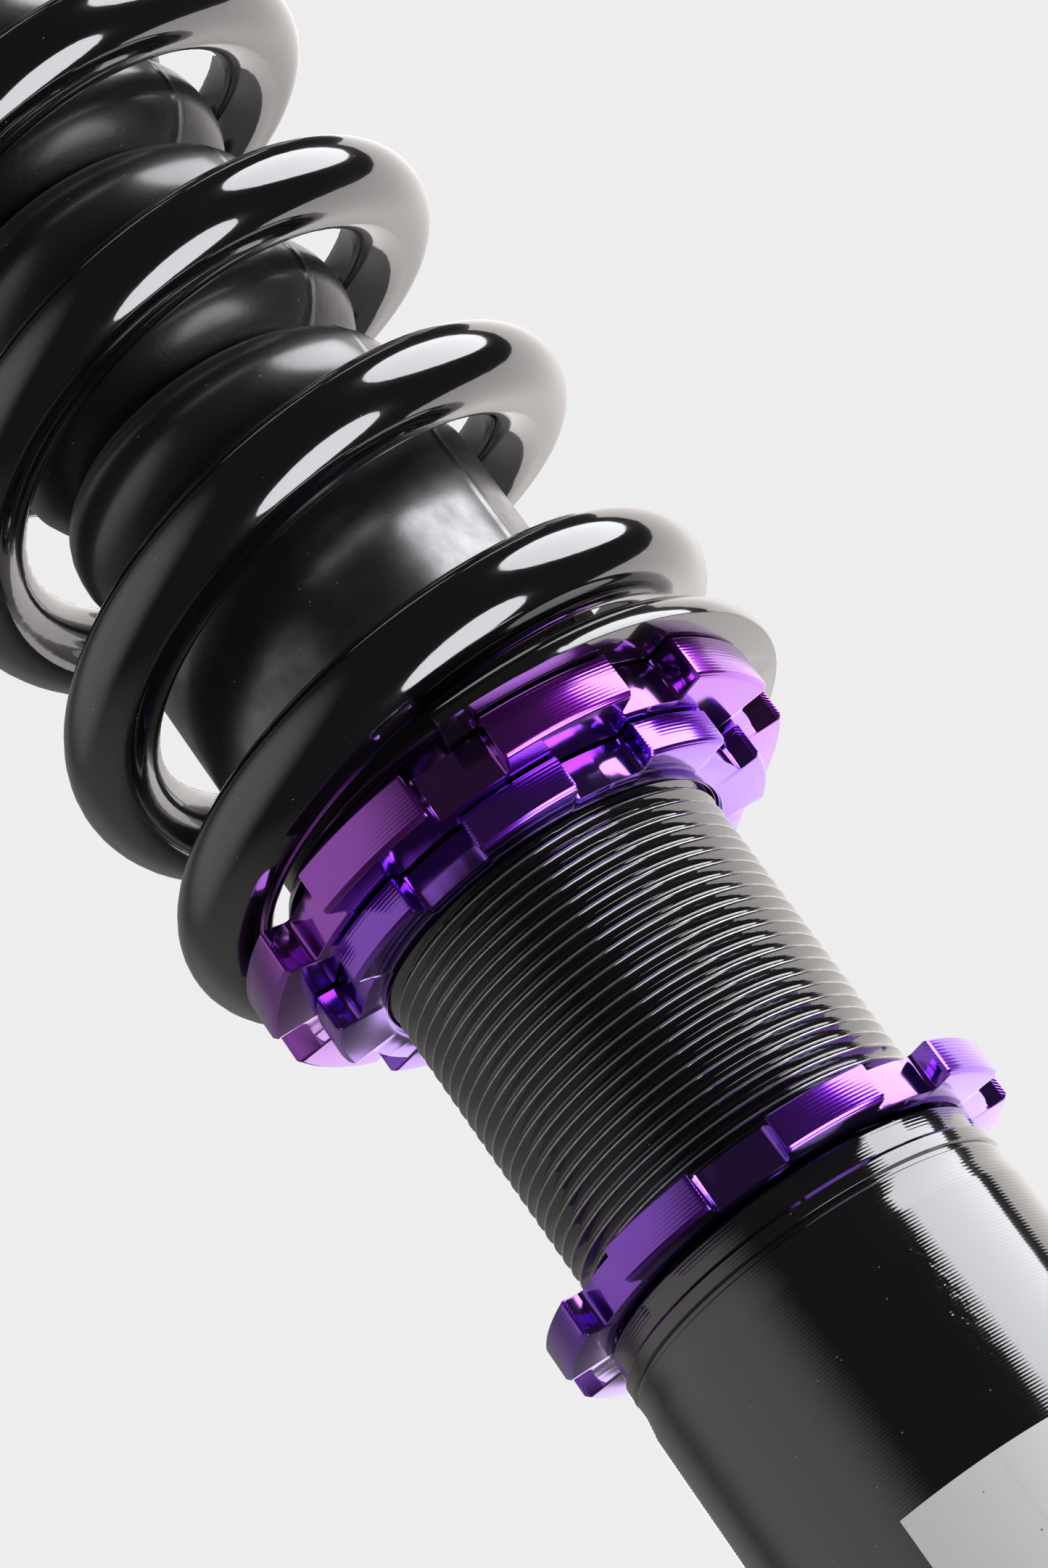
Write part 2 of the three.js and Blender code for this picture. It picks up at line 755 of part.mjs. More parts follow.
function castellatedShape(outer, floor, slotAngle, bore) {
  const shape = new THREE.Shape();
  const pitch = 2 * Math.PI / slotCount;
  const half = THREE.MathUtils.degToRad(slotAngle) / 2;
  const fillet = slotFillet / floor;
  const corner = floor + slotFillet;
  shape.moveTo(outer * Math.cos(-half), outer * Math.sin(-half));
  for (let i = 0; i < slotCount; i += 1) {
    const left = i * pitch - half;
    const right = i * pitch + half;
    shape.lineTo(corner * Math.cos(left), corner * Math.sin(left));
    addArc(shape, floor, left + fillet, right - fillet, 1);
    shape.lineTo(corner * Math.cos(right), corner * Math.sin(right));
    addArc(shape, outer, right, left + pitch, 3);
  }
  const hole = new THREE.Path();
  hole.moveTo(bore, 0);
  addArc(hole, bore, 0, -2 * Math.PI * (1 - 1 / roundSteps), roundSteps - 1);
  hole.closePath();
  shape.holes.push(hole);
  return shape;
}

function collarGeometry(outer, floor, slotAngle, height) {
  const shape = castellatedShape(outer, floor, slotAngle, bodyRadius + runGap);
  return extruded(shape, height, collarChamfer, 3);
}

function perchGeometry() {
  const collar = solid(collarGeometry(perchRadius, perchFloor, perchSlotAngle, perchHeight));
  const guide = springInner - springGuideGap;
  const bore = bodyRadius + runGap;
  const hub = solid(turned([
    [bore, perchHeight / 2],
    [guide, perchHeight / 2],
    [guide, perchHeight + perchHubHeight - guideLeadHeight],
    [guide - guideLead, perchHeight + perchHubHeight],
    [bore, perchHeight + perchHubHeight],
  ], roundSteps));
  return geometryOf(collar.add(hub));
}

function collars() {
  const front = -Math.PI / 2;
  const perch = add('spring_perch', perchGeometry(), violet, perchBottom);
  perch.rotation.z = front + THREE.MathUtils.degToRad(perchPhase);
  const lockRing = collarGeometry(ringRadius, ringFloor, ringSlotAngle, ringHeight);
  const upper = add('perch_lock_ring', lockRing, violet, upperRingBottom);
  upper.rotation.z = front + THREE.MathUtils.degToRad(upperRingPhase);
  const lower = add('bracket_lock_ring', lockRing, violet, lowerRingBottom);
  lower.rotation.z = front + THREE.MathUtils.degToRad(lowerRingPhase);
}

// ---------------------------------------------------------------- damper
function bodyGeometry() {
  const groove = bodyBore + bodyClipGroove;
  return turned([
    [bodyBore, bodyBottom],
    [bodyRadius - chamfer, bodyBottom],
    [bodyRadius, bodyBottom + chamfer],
    [bodyRadius, bodyTop - chamfer],
    [bodyRadius - chamfer, bodyTop],
    [bodyBore, bodyTop],
    [bodyBore, clipTop + seatGap / 2],
    [groove, clipTop + seatGap / 2],
    [groove, clipBottom - seatGap / 2],
    [bodyBore, clipBottom - seatGap / 2],
  ], roundSteps);
}

function capGeometry() {
  const flangeTopZ = bodyBottom - seatGap;
  const flange = bodyRadius - capInset;
  const plug = bodyBore - runGap;
  const cap = solid(turned([
    [0, flangeTopZ - capFlange],
    [flange - chamfer, flangeTopZ - capFlange],
    [flange, flangeTopZ - capFlange + chamfer],
    [flange, flangeTopZ],
    [plug, flangeTopZ],
    [plug, flangeTopZ + capThickness - chamfer],
    [plug - chamfer, flangeTopZ + capThickness],
    [0, flangeTopZ + capThickness],
  ]));
  const port = new THREE.CylinderGeometry(valveRadius + runGap, valveRadius + runGap,
    2 * valvePocket, smallSteps).rotateX(Math.PI / 2);
  port.translate(0, 0, flangeTopZ - capFlange);
  return geometryOf(cap.subtract(solid(port)));
}

function pistonGeometry() {
  const outer = bodyBore - runGap;
  const bandMiddle = (pistonTop + pistonBottom) / 2;
  const half = bandHeight / 2 + seatGap;
  let piston = solid(turned([
    [pistonStem + runGap, pistonBottom],
    [outer - fineChamfer, pistonBottom],
    [outer, pistonBottom + fineChamfer],
    [outer, bandMiddle - half],
    [outer - bandDepth - seatGap, bandMiddle - half],
    [outer - bandDepth - seatGap, bandMiddle + half],
    [outer, bandMiddle + half],
    [outer, pistonTop - fineChamfer],
    [outer - fineChamfer, pistonTop],
    [pistonStem + runGap, pistonTop],
  ]));
  for (let i = 0; i < pistonPorts; i += 1) {
    const port = new THREE.CylinderGeometry(portRadius, portRadius, 2 * pistonHeight,
      portSides).rotateX(Math.PI / 2);
    port.translate(portCircle, 0, bandMiddle);
    port.rotateZ(i * 2 * Math.PI / pistonPorts);
    piston = piston.subtract(solid(port));
  }
  return geometryOf(piston);
}

// A stack of shims that get smaller away from the piston.
function shimGeometry(pistonSide, away) {
  const bore = pistonStem + runGap;
  const outline = [[bore, pistonSide]];
  for (let i = 0; i < shimSteps; i += 1) {
    const radius = shimRadius - shimDrop * i;
    outline.push([radius, pistonSide + away * shimHeight * i / shimSteps]);
    outline.push([radius, pistonSide + away * shimHeight * (i + 1) / shimSteps]);
  }
  outline.push([bore, pistonSide + away * shimHeight]);
  return turned(outline);
}

function separatorGeometry() {
  const outer = bodyBore - runGap;
  const middle = (separatorTop + separatorBottom) / 2;
  const groove = ringSection + seatGap;
  return turned([
    [0, separatorTop],
    [outer - fineChamfer, separatorTop],
    [outer, separatorTop - fineChamfer],
    [outer, middle + groove],
    [outer - 2 * ringSection, middle + groove],
    [outer - 2 * ringSection, middle - groove],
    [outer, middle - groove],
    [outer, separatorBottom],
    [outer - separatorWall, separatorBottom],
    [outer - separatorWall, separatorBottom + separatorCup],
    [0, separatorBottom + separatorCup],
  ]);
}

function guideGeometry() {
  const outer = bodyBore - runGap;
  const inner = rodRadius + runGap + guideBushWall + seatGap;
  return turned([
    [inner, guideBottom],
    [outer - fineChamfer, guideBottom],
    [outer, guideBottom + fineChamfer],
    [outer, guideTop],
    [inner, guideTop],
  ]);
}

// A lip seal: its inner lip stands free of the outer ring above a V-shaped groove.
function sealGeometry() {
  const outer = bodyBore - runGap;
  const inner = rodRadius + runGap;
  const lip = rodRadius + 2 * sealLip;
  return turned([
    [inner, sealTop],
    [inner, sealTop - sealHeight],
    [outer, sealTop - sealHeight],
    [outer, sealTop],
    [lip + 2 * sealLip, sealTop],
    [lip + sealLip, sealTop - sealHeight / 2],
    [lip, sealTop],
  ]);
}

function wiperGeometry() {
  const outer = bodyBore - runGap;
  const bottom = clipTop + seatGap;
  const top = bottom + wiperHeight;
  return turned([
    [rodRadius + runGap, bottom],
    [outer, bottom],
    [outer, top - wiperLip],
    [outer - wiperLip, top],
    [rodRadius + 2 * wiperLip, top],
    [rodRadius + runGap, top + wiperLip],
  ]);
}

function bodyEnds() {
  add('threaded_body', bodyGeometry(), black);
  add('body_end_cap', capGeometry(), black);
  const valveBottom = bodyBottom - seatGap - capFlange + fineChamfer;
  add('gas_valve_plug', nutGeometry(valveFlats, valveBore, valveHeight), bronze, valveBottom);
  add('rod_guide', guideGeometry(), alloy);
  const bush = rodRadius + runGap;
  add('guide_bush', ring(bush, bush + guideBushWall, guideBottom, guideTop), bronze);
  add('rod_seal', sealGeometry(), rubber);
  const clip = snapRingGeometry(bodyBore + bodyClipGroove - seatGap, bodyClipWidth,
    bodyClipHeight);
  add('seal_circlip', clip, steel, clipBottom);
  add('rod_wiper', wiperGeometry(), rubber);
}

function pistonStack() {
  const bumper = ring(rodRadius + runGap, bumperRadius, bumperBottom, bumperTop, bumperChamfer);
  add('rebound_bumper', bumper, foam);
  const stem = pistonStem + runGap;
  const topOut = ring(stem, topOutRadius, topOutTop - topOutHeight, topOutTop, fineChamfer);
  add('top_out_washer', topOut, steel);
  add('compression_shims', shimGeometry(pistonTop + seatGap, 1), steel);
  add('damper_piston', pistonGeometry(), alloy);
  const bandMiddle = (pistonTop + pistonBottom) / 2;
  add('piston_band', ring(bodyBore - runGap - bandDepth, bodyBore - runGap / 2,
    bandMiddle - bandHeight / 2, bandMiddle + bandHeight / 2), bronze);
  add('rebound_shims', shimGeometry(pistonBottom - seatGap, -1), steel);
  add('piston_nut', nutGeometry(pistonNutFlats, stem, pistonNutHeight), steel, pistonNutBottom);
}

function gasPiston() {
  add('floating_piston', separatorGeometry(), alloy);
  const sealRadius = bodyBore - runGap / 2 - ringSection;
  const turn = 2 * Math.PI * (ringSides - 1) / ringSides;
  add('floating_piston_ring', turned(arcPoints(ringSection, 0, turn, ringSides - 1,
    (separatorTop + separatorBottom) / 2, sealRadius)), rubber);
}

// ---------------------------------------------------------------- boot and bump stop
// Radius of the bellows at a height above their lower end: rounded drums between narrow necks.
function bellowsRadius(height) {
  const across = Math.abs(2 * ((height / bootPitch) % 1) - 1);
  return bootNeck + (bootPeak - bootNeck) * Math.sqrt(Math.max(0, 1 - across ** bootFullness));
}

function bootGeometry() {
  const outer = [];
  const inner = [];
  const shares = [0, 0.06, 0.25, 0.75, 0.94];
  for (let rib = 0; rib < bootRibs; rib += 1) {
    shares.forEach((share) => {
      const height = (rib + share) * bootPitch;
      outer.push([bellowsRadius(height), bootBottom + height]);
    });
    [0, 0.5].forEach((share) => {
      const height = (rib + share) * bootPitch;
      inner.push([bellowsRadius(height) - bootWall, bootBottom + height]);
    });
  }
  outer.push([bootNeck, bootRibsTop]);
  outer.push([bootSleeveRadius, bootRibsTop + bootSleeveLead]);
  outer.push([bootSleeveRadius, bootTop]);
  inner.push([bootNeck - bootWall, bootRibsTop]);
  inner.push([bootSleeveRadius - bootWall, bootRibsTop + bootSleeveLead]);
  inner.push([bootSleeveRadius - bootWall, bootTop]);
  return turned([...outer, ...inner.reverse()]);
}

function cuffGeometry() {
  const inner = bodyRadius + runGap;
  return turned([
    [inner, cuffBottom],
    [cuffRadius, cuffBottom],
    ...arcPoints(cuffRound, 0, Math.PI / 2, 4, cuffTop - cuffRound, cuffRadius - cuffRound),
    [bootNeck, cuffTop],
    [bootNeck - bootWall, cuffTop],
    [bootNeck - bootWall, cuffTop - bootWall],
    [inner - cuffLead, cuffTop - bootWall],
    [inner, cuffTop - bootWall - cuffLead],
  ], roundSteps);
}

function bumpStopGeometry() {
  const bore = rodRadius + runGap;
  const top = stopWasherBottom - seatGap;
  const bottom = top - stopHeight;
  const third = stopHeight / 3;
  return turned([
    [bore, bottom],
    [stopRadius - stopNose, bottom],
    [stopRadius - stopWaist, bottom + stopNose],
    [stopRadius - stopWaist, bottom + third - stopGrooveHalf],
    [stopRadius - stopGroove - stopStep, bottom + third],
    [stopRadius, bottom + third + stopGrooveHalf],
    [stopRadius, bottom + 2 * third - stopGrooveHalf],
    [stopRadius - stopGroove, bottom + 2 * third],
    [stopRadius, bottom + 2 * third + stopGrooveHalf],
    [stopRadius, top],
    [bore, top],
  ]);
}

function softParts() {
  add('dust_boot', bootGeometry(), rubber);
  add('boot_cuff', cuffGeometry(), rubber);
  add('bump_stop', bumpStopGeometry(), foam);
}

// ---------------------------------------------------------------- knuckle bracket
function bracketTube() {
  const bore = bodyRadius + runGap;
  const grooveTop = bracketTop - bracketGrooveDrop;
  const grooveBottom = grooveTop - bracketGrooveHeight;
  const shoulder = bracketTop - bracketShoulderDrop;
  return turned([
    [0, bracketBottom],
    [bracketRadius - bracketFoot, bracketBottom],
    [bracketRadius, bracketBottom + bracketFoot],
    [bracketRadius, shoulder - bracketShoulderRun],
    [bracketBand, shoulder],
    [bracketBand, grooveBottom],
    [bracketBand - bracketGrooveDepth, grooveBottom],
    [bracketBand - bracketGrooveDepth, grooveTop],
    [bracketBand, grooveTop],
    [bracketBand, bracketTop - bracketNeckHeight - fineChamfer],
    [bracketNeck, bracketTop - bracketNeckHeight],
    [bracketNeck, bracketTop - fineChamfer],
    [bracketNeck - fineChamfer, bracketTop],
    [bore, bracketTop],
    [bore, bracketBottom + bracketFloor],
    [0, bracketBottom + bracketFloor],
  ], roundSteps);
}

// The strap's plan: round the tube's front and on as two parallel ears.
function strapPlan() {
  const inner = bracketRadius - strapSink;
  const outer = bracketRadius + earThickness;
  const plan = new THREE.Shape();
  plan.moveTo(outer, earReach);
  plan.lineTo(outer, 0);
  plan.absarc(0, 0, outer, 0, -Math.PI, true);
  plan.lineTo(-outer, earReach);
  plan.lineTo(-bracketRadius, earReach);
  plan.lineTo(-bracketRadius, chamfer);
  plan.lineTo(-inner, 0);
  plan.absarc(0, 0, inner, -Math.PI, 0, false);
  plan.lineTo(bracketRadius, chamfer);
  plan.lineTo(bracketRadius, earReach);
  plan.closePath();
  return plan;
}

// The strap's side view: the ears stand above and below it, with rounded outer corners.
function strapSide(front) {
  const corner = earReach - earCorner;
  const high = earHeight - earCorner;
  const top = earHeight - strapInset;
  const side = new THREE.Shape();
  side.moveTo(-front, strapInset);
  side.lineTo(0, strapInset);
  side.bezierCurveTo(earBlend / 2, strapInset, earBlend / 2, 0, earBlend, 0);
  side.absarc(corner, earCorner, earCorner, -Math.PI / 2, 0, false);
  side.absarc(corner, high, earCorner, 0, Math.PI / 2, false);
  side.lineTo(earBlend, earHeight);
  side.bezierCurveTo(earBlend / 2, earHeight, earBlend / 2, top, 0, top);
  side.lineTo(-front, top);
  side.closePath();
  return side;
}

function strapSolid() {
  const front = bracketRadius + earThickness + cutMargin;
  const profile = extruded(strapSide(front), 2 * front, 0, 4);
  profile.rotateX(Math.PI / 2);
  profile.rotateZ(Math.PI / 2);
  profile.translate(-front, 0, 0);
  return solid(extruded(strapPlan(), earHeight, 0, 10)).intersect(solid(profile));
}

function bracketGeometry() {
  const strapBottom = bracketBottom + earRise;
  let bracket = solid(bracketTube()).add(strapSolid().translate([0, 0, strapBottom]));
  for (const side of [-1, 1]) {
    const hole = new THREE.CylinderGeometry(boltRadius, boltRadius, 4 * bracketRadius, smallSteps);
    hole.rotateZ(Math.PI / 2);
    hole.translate(0, boltReach, strapBottom + earHeight / 2 + side * boltPitch / 2);
    bracket = bracket.subtract(solid(hole));
  }
  const drain = new THREE.CylinderGeometry(drainRadius, drainRadius, 4 * bracketFloor, smallSteps);
  drain.rotateX(Math.PI / 2);
  drain.translate(0, 0, bracketBottom);
  return geometryOf(bracket.subtract(solid(drain)));
}

topMount();
rodTop();
seatStack();
coilSpring();
collars();
bodyEnds();
pistonStack();
gasPiston();
softParts();
add('lower_bracket', bracketGeometry(), black);

export default object;
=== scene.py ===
"""The looks of a height-adjustable suspension strut: gloss black coil spring, violet castellated collars,
threaded damper body, rubber boot, knuckle bracket and pillow-ball top mount, on a pale studio floor.

The part's frame has +Z up along the strut, its origin in the top mount's upper face and -Y towards the
side that the camera sees.  Sizes here are in millimetres and are turned to metres as pieces are made.
"""

from __future__ import annotations

import contextlib
import logging
import math
from collections.abc import Callable, Iterator, Sequence
from dataclasses import dataclass, field
from enum import Enum
from typing import Any

import bmesh
import bpy
from bpy.types import Material, Modifier, Node, NodeSocket, NodeTree, Object
from mathutils import Matrix, Vector

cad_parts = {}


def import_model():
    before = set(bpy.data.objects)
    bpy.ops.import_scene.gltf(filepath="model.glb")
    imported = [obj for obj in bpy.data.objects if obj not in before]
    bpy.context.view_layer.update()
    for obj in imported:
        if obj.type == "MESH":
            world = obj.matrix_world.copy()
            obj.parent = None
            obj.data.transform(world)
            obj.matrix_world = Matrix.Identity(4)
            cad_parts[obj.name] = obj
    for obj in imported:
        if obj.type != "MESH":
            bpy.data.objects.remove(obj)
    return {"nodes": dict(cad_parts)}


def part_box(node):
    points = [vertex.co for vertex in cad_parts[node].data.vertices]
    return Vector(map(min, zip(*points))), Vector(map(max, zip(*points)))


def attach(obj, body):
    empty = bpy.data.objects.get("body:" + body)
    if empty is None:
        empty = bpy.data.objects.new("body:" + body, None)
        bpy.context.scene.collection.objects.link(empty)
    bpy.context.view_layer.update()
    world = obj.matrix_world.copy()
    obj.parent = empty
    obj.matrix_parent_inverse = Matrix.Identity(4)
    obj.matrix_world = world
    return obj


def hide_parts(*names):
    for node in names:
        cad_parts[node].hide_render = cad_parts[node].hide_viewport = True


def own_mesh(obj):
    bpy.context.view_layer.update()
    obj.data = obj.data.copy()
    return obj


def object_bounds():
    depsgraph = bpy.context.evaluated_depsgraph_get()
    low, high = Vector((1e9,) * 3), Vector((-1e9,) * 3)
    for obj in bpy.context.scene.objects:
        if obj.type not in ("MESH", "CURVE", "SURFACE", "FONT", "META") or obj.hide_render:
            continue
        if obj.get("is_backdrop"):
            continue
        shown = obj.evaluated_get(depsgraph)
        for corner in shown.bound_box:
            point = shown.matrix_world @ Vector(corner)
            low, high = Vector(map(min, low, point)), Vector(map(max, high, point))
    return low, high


LOG = logging.getLogger("strut")

MM = 0.001
TURN = 2 * math.pi
# Points closer than this are one, m.
MERGE = 1e-6

# Sides of a round: on outer surfaces, on small or hidden ones, and on bolts and holes.
SMOOTH_STEPS = 192
INNER_STEPS = 96
SMALL_STEPS = 48
SHARP_ANGLE = math.radians(32)
# Where most of Blender's noise lies, which is stretched over a pattern's whole range.
NOISE_RANGE = (0.3, 0.7)

Point2 = tuple[float, float]
Point3 = tuple[float, float, float]
Scalar = NodeSocket | float


class Join(Enum):
    """How two closed solids are combined."""

    CUT = "DIFFERENCE"
    ADD = "UNION"
    KEEP_COMMON = "INTERSECT"


# ---------------------------------------- workbench
def pick_only(piece: Object) -> None:
    """Selects one piece alone and makes it the active one."""
    bpy.ops.object.select_all(action="DESELECT")
    piece.select_set(True)
    bpy.context.view_layer.objects.active = piece


@contextlib.contextmanager
def editing(piece: Object) -> Iterator[None]:
    """Holds a piece in edit mode for the length of a with block, all of it selected at the start."""
    pick_only(piece)
    bpy.ops.object.mode_set(mode="EDIT")
    bpy.ops.mesh.select_all(action="SELECT")
    yield
    bpy.ops.object.mode_set(mode="OBJECT")


def select_faces(piece: Object, wanted: Callable[[Vector, Vector], bool]) -> None:
    """Selects the faces of a piece in edit mode by their place and normal.

    Args:
        piece: The piece in edit mode.
        wanted: Takes a face's centre in mm and its normal, and says whether to select it.
    """
    bpy.ops.mesh.select_mode(type="FACE")
    bpy.ops.mesh.select_all(action="DESELECT")
    mesh = bmesh.from_edit_mesh(piece.data)
    for face in mesh.faces:
        if wanted(face.calc_center_median() / MM, face.normal):
            face.select_set(True)
    mesh.select_flush_mode()
    bmesh.update_edit_mesh(piece.data)


def weld(outwards: bool = True) -> None:
    """Merges the edited mesh's doubled points and, if asked, turns its faces outwards."""
    bpy.ops.mesh.select_all(action="SELECT")
    bpy.ops.mesh.remove_doubles(threshold=MERGE)
    if outwards:
        bpy.ops.mesh.normals_make_consistent(inside=False)


def draw_line(name: str, points: Sequence[Point3], closed: bool) -> Object:
    """Draws a run of edges by extruding one vertex from point to point.

    Args:
        name: The new piece's name.
        points: The run's points in mm.
        closed: Whether the run returns to its first point.

    Returns:
        The piece, in object mode, with only edges in it.
    """
    bpy.ops.object.select_all(action="DESELECT")
    bpy.ops.mesh.primitive_plane_add(size=MM)
    piece = bpy.context.object
    piece.name = name
    piece.data.name = name
    route = [Vector(point) * MM for point in points]
    if closed:
        route.append(route[0])
    with editing(piece):
        bpy.ops.mesh.select_mode(type="VERT")
        bpy.ops.mesh.select_all(action="SELECT")
        bpy.ops.mesh.merge(type="CENTER")
        bpy.ops.transform.translate(value=route[0])
        for start, end in zip(route, route[1:]):
            bpy.ops.mesh.extrude_vertices_move(TRANSFORM_OT_translate={"value": end - start})
        weld(outwards=False)
    return piece


def turned(name: str, outline: Sequence[Point2], steps: int = INNER_STEPS) -> Object:
    """Makes a turned piece.

    Args:
        name: The new piece's name.
        outline: Its closed half section, as radius and height in mm.
        steps: Sides of the round.

    Returns:
        The closed piece.
    """
    piece = draw_line(name, [(radius, 0.0, height) for radius, height in outline], closed=True)
    with editing(piece):
        bpy.ops.mesh.spin(steps=steps, angle=TURN, center=(0, 0, 0), axis=(0, 0, 1))
        weld()
    return piece


def tube(name: str, inner: float, outer: float, bottom: float, top: float,
         steps: int = INNER_STEPS) -> Object:
    """Makes a plain tube.

    Args:
        name: The new piece's name.
        inner: Its bore's radius in mm.
        outer: Its outer radius in mm.
        bottom: Height of its lower end in mm.
        top: Height of its upper end in mm.
        steps: Sides of the round.

    Returns:
        The closed piece.
    """
    return turned(name, [(inner, bottom), (outer, bottom), (outer, top), (inner, top)], steps)


def prism(name: str, outline: Sequence[Point2], bottom: float, top: float) -> Object:
    """Extrudes a closed plan along Z.

    Args:
        name: The new piece's name.
        outline: The plan's points in mm.
        bottom: Height of its lower face in mm.
        top: Height of its upper face in mm.

    Returns:
        The closed piece.
    """
    piece = draw_line(name, [(x, y, bottom) for x, y in outline], closed=True)
    with editing(piece):
        bpy.ops.mesh.edge_face_add()
        bpy.ops.mesh.extrude_region_move(TRANSFORM_OT_translate={"value": (0, 0, (top - bottom) * MM)})
        bpy.ops.mesh.select_all(action="SELECT")
        bpy.ops.mesh.normals_make_consistent(inside=False)
    return piece


def cylinder(name: str, radius: float, middle: Point3, length: float, axis: str = "Z",
             sides: int = SMALL_STEPS) -> Object:
    """Makes a plain solid cylinder.

    Args:
        name: The new piece's name.
        radius: In mm.
        middle: Its middle in mm.
        length: In mm.
        axis: X or Z, the axis that it lies along.
        sides: Sides of its round.

    Returns:
        The closed piece.
    """
    turns = {"X": (0, math.pi / 2, 0), "Z": (0, 0, 0)}
    bpy.ops.object.select_all(action="DESELECT")
    bpy.ops.mesh.primitive_cylinder_add(vertices=sides, radius=radius * MM, depth=length * MM,
                                        location=Vector(middle) * MM, rotation=turns[axis])
    piece = bpy.context.object
    piece.name = name
    settle(piece)
    return piece


def settle(piece: Object) -> None:
    """Puts a piece's place into its mesh, so that its object sits unturned at the origin."""
    pick_only(piece)
    bpy.ops.object.transform_apply(location=True, rotation=True, scale=True)


def apply(piece: Object, modifier: Modifier) -> None:
    """Applies one modifier."""
    pick_only(piece)
    bpy.ops.object.modifier_apply(modifier=modifier.name)


def combine(piece: Object, other: Object, how: Join) -> None:
    """Cuts, adds or intersects a piece with another, which is used up.

    Args:
        piece: The piece that is kept and changed.
        other: The piece that is used up.
        how: What is done with it.
    """
    modifier = piece.modifiers.new(how.name, "BOOLEAN")
    modifier.operation = how.value
    modifier.solver = "EXACT"
    modifier.object = other
    apply(piece, modifier)
    bpy.data.objects.remove(other)


def soften(piece: Object, width: float, segments: int = 2, angle: float = 32.0) -> None:
    """Bevels every edge sharper than an angle.

    Args:
        piece: The piece.
        width: Width of the bevel in mm.
        segments: Facets across it.
        angle: The least angle that counts, in degrees.
    """
    modifier = piece.modifiers.new("soften", "BEVEL")
    modifier.width = width * MM
    modifier.segments = segments
    modifier.limit_method = "ANGLE"
    modifier.angle_limit = math.radians(angle)
    modifier.use_clamp_overlap = True
    apply(piece, modifier)


def copy_round(piece: Object, count: int) -> None:
    """Repeats a mesh evenly about Z, the first copy where it is."""
    with editing(piece):
        bpy.ops.mesh.spin(steps=count, dupli=True, angle=TURN, center=(0, 0, 0), axis=(0, 0, 1))
        weld(outwards=False)


def turn_mesh(piece: Object, degrees: float) -> None:
    """Turns a mesh about Z, anticlockwise as seen from above."""
    piece.rotation_euler.z = math.radians(degrees)
    settle(piece)


def arc(radius: float, start: float, end: float, steps: int, centre: Point2 = (0.0, 0.0)) -> list[Point2]:
    """Points on an arc.

    Args:
        radius: In mm.
        start: First angle in degrees.
        end: Last angle in degrees.
        steps: Stretches between the points.
        centre: The arc's centre in mm.

    Returns:
        The points, with both ends.
    """
    angles = [math.radians(start + (end - start) * i / steps) for i in range(steps + 1)]
    return [(centre[0] + radius * math.cos(a), centre[1] + radius * math.sin(a)) for a in angles]


def wire(name: str, points: Sequence[Point3], radius: float, sides: int,
         swell: Sequence[float] | None = None) -> Object:
    """Makes a round tube along a path, with closed flat ends.

    Args:
        name: The new piece's name.
        points: The path in mm.
        radius: The tube's radius in mm.
        sides: Sides of its round.
        swell: The radius at each point as a share, all 1 if it is left out.

    Returns:
        The tube as a mesh.
    """
    curve = bpy.data.curves.new(name, "CURVE")
    curve.dimensions = "3D"
    curve.twist_mode = "Z_UP"
    curve.bevel_depth = radius * MM
    curve.bevel_resolution = sides // 2 - 2
    curve.use_fill_caps = True
    line = curve.splines.new("POLY")
    line.points.add(len(points) - 1)
    for index, (place, point) in enumerate(zip(points, line.points)):
        point.co = (*(Vector(place) * MM), 1)
        point.radius = swell[index] if swell else 1.0
    piece = bpy.data.objects.new(name, curve)
    bpy.context.scene.collection.objects.link(piece)
    pick_only(piece)
    bpy.ops.object.convert(target="MESH")
    with editing(piece):
        weld()
    return piece


def slice_off(piece: Object, height: float, keep_above: bool, close: bool = True) -> None:
    """Cuts a piece square at a height.

    Args:
        piece: The piece.
        height: The height in mm.
        keep_above: Whether what is above it stays, and not what is below.
        close: Whether the cut is closed with a face.
    """
    with editing(piece):
        bpy.ops.mesh.bisect(plane_co=(0, 0, height * MM), plane_no=(0, 0, 1), use_fill=close,
                            clear_inner=keep_above, clear_outer=not keep_above)


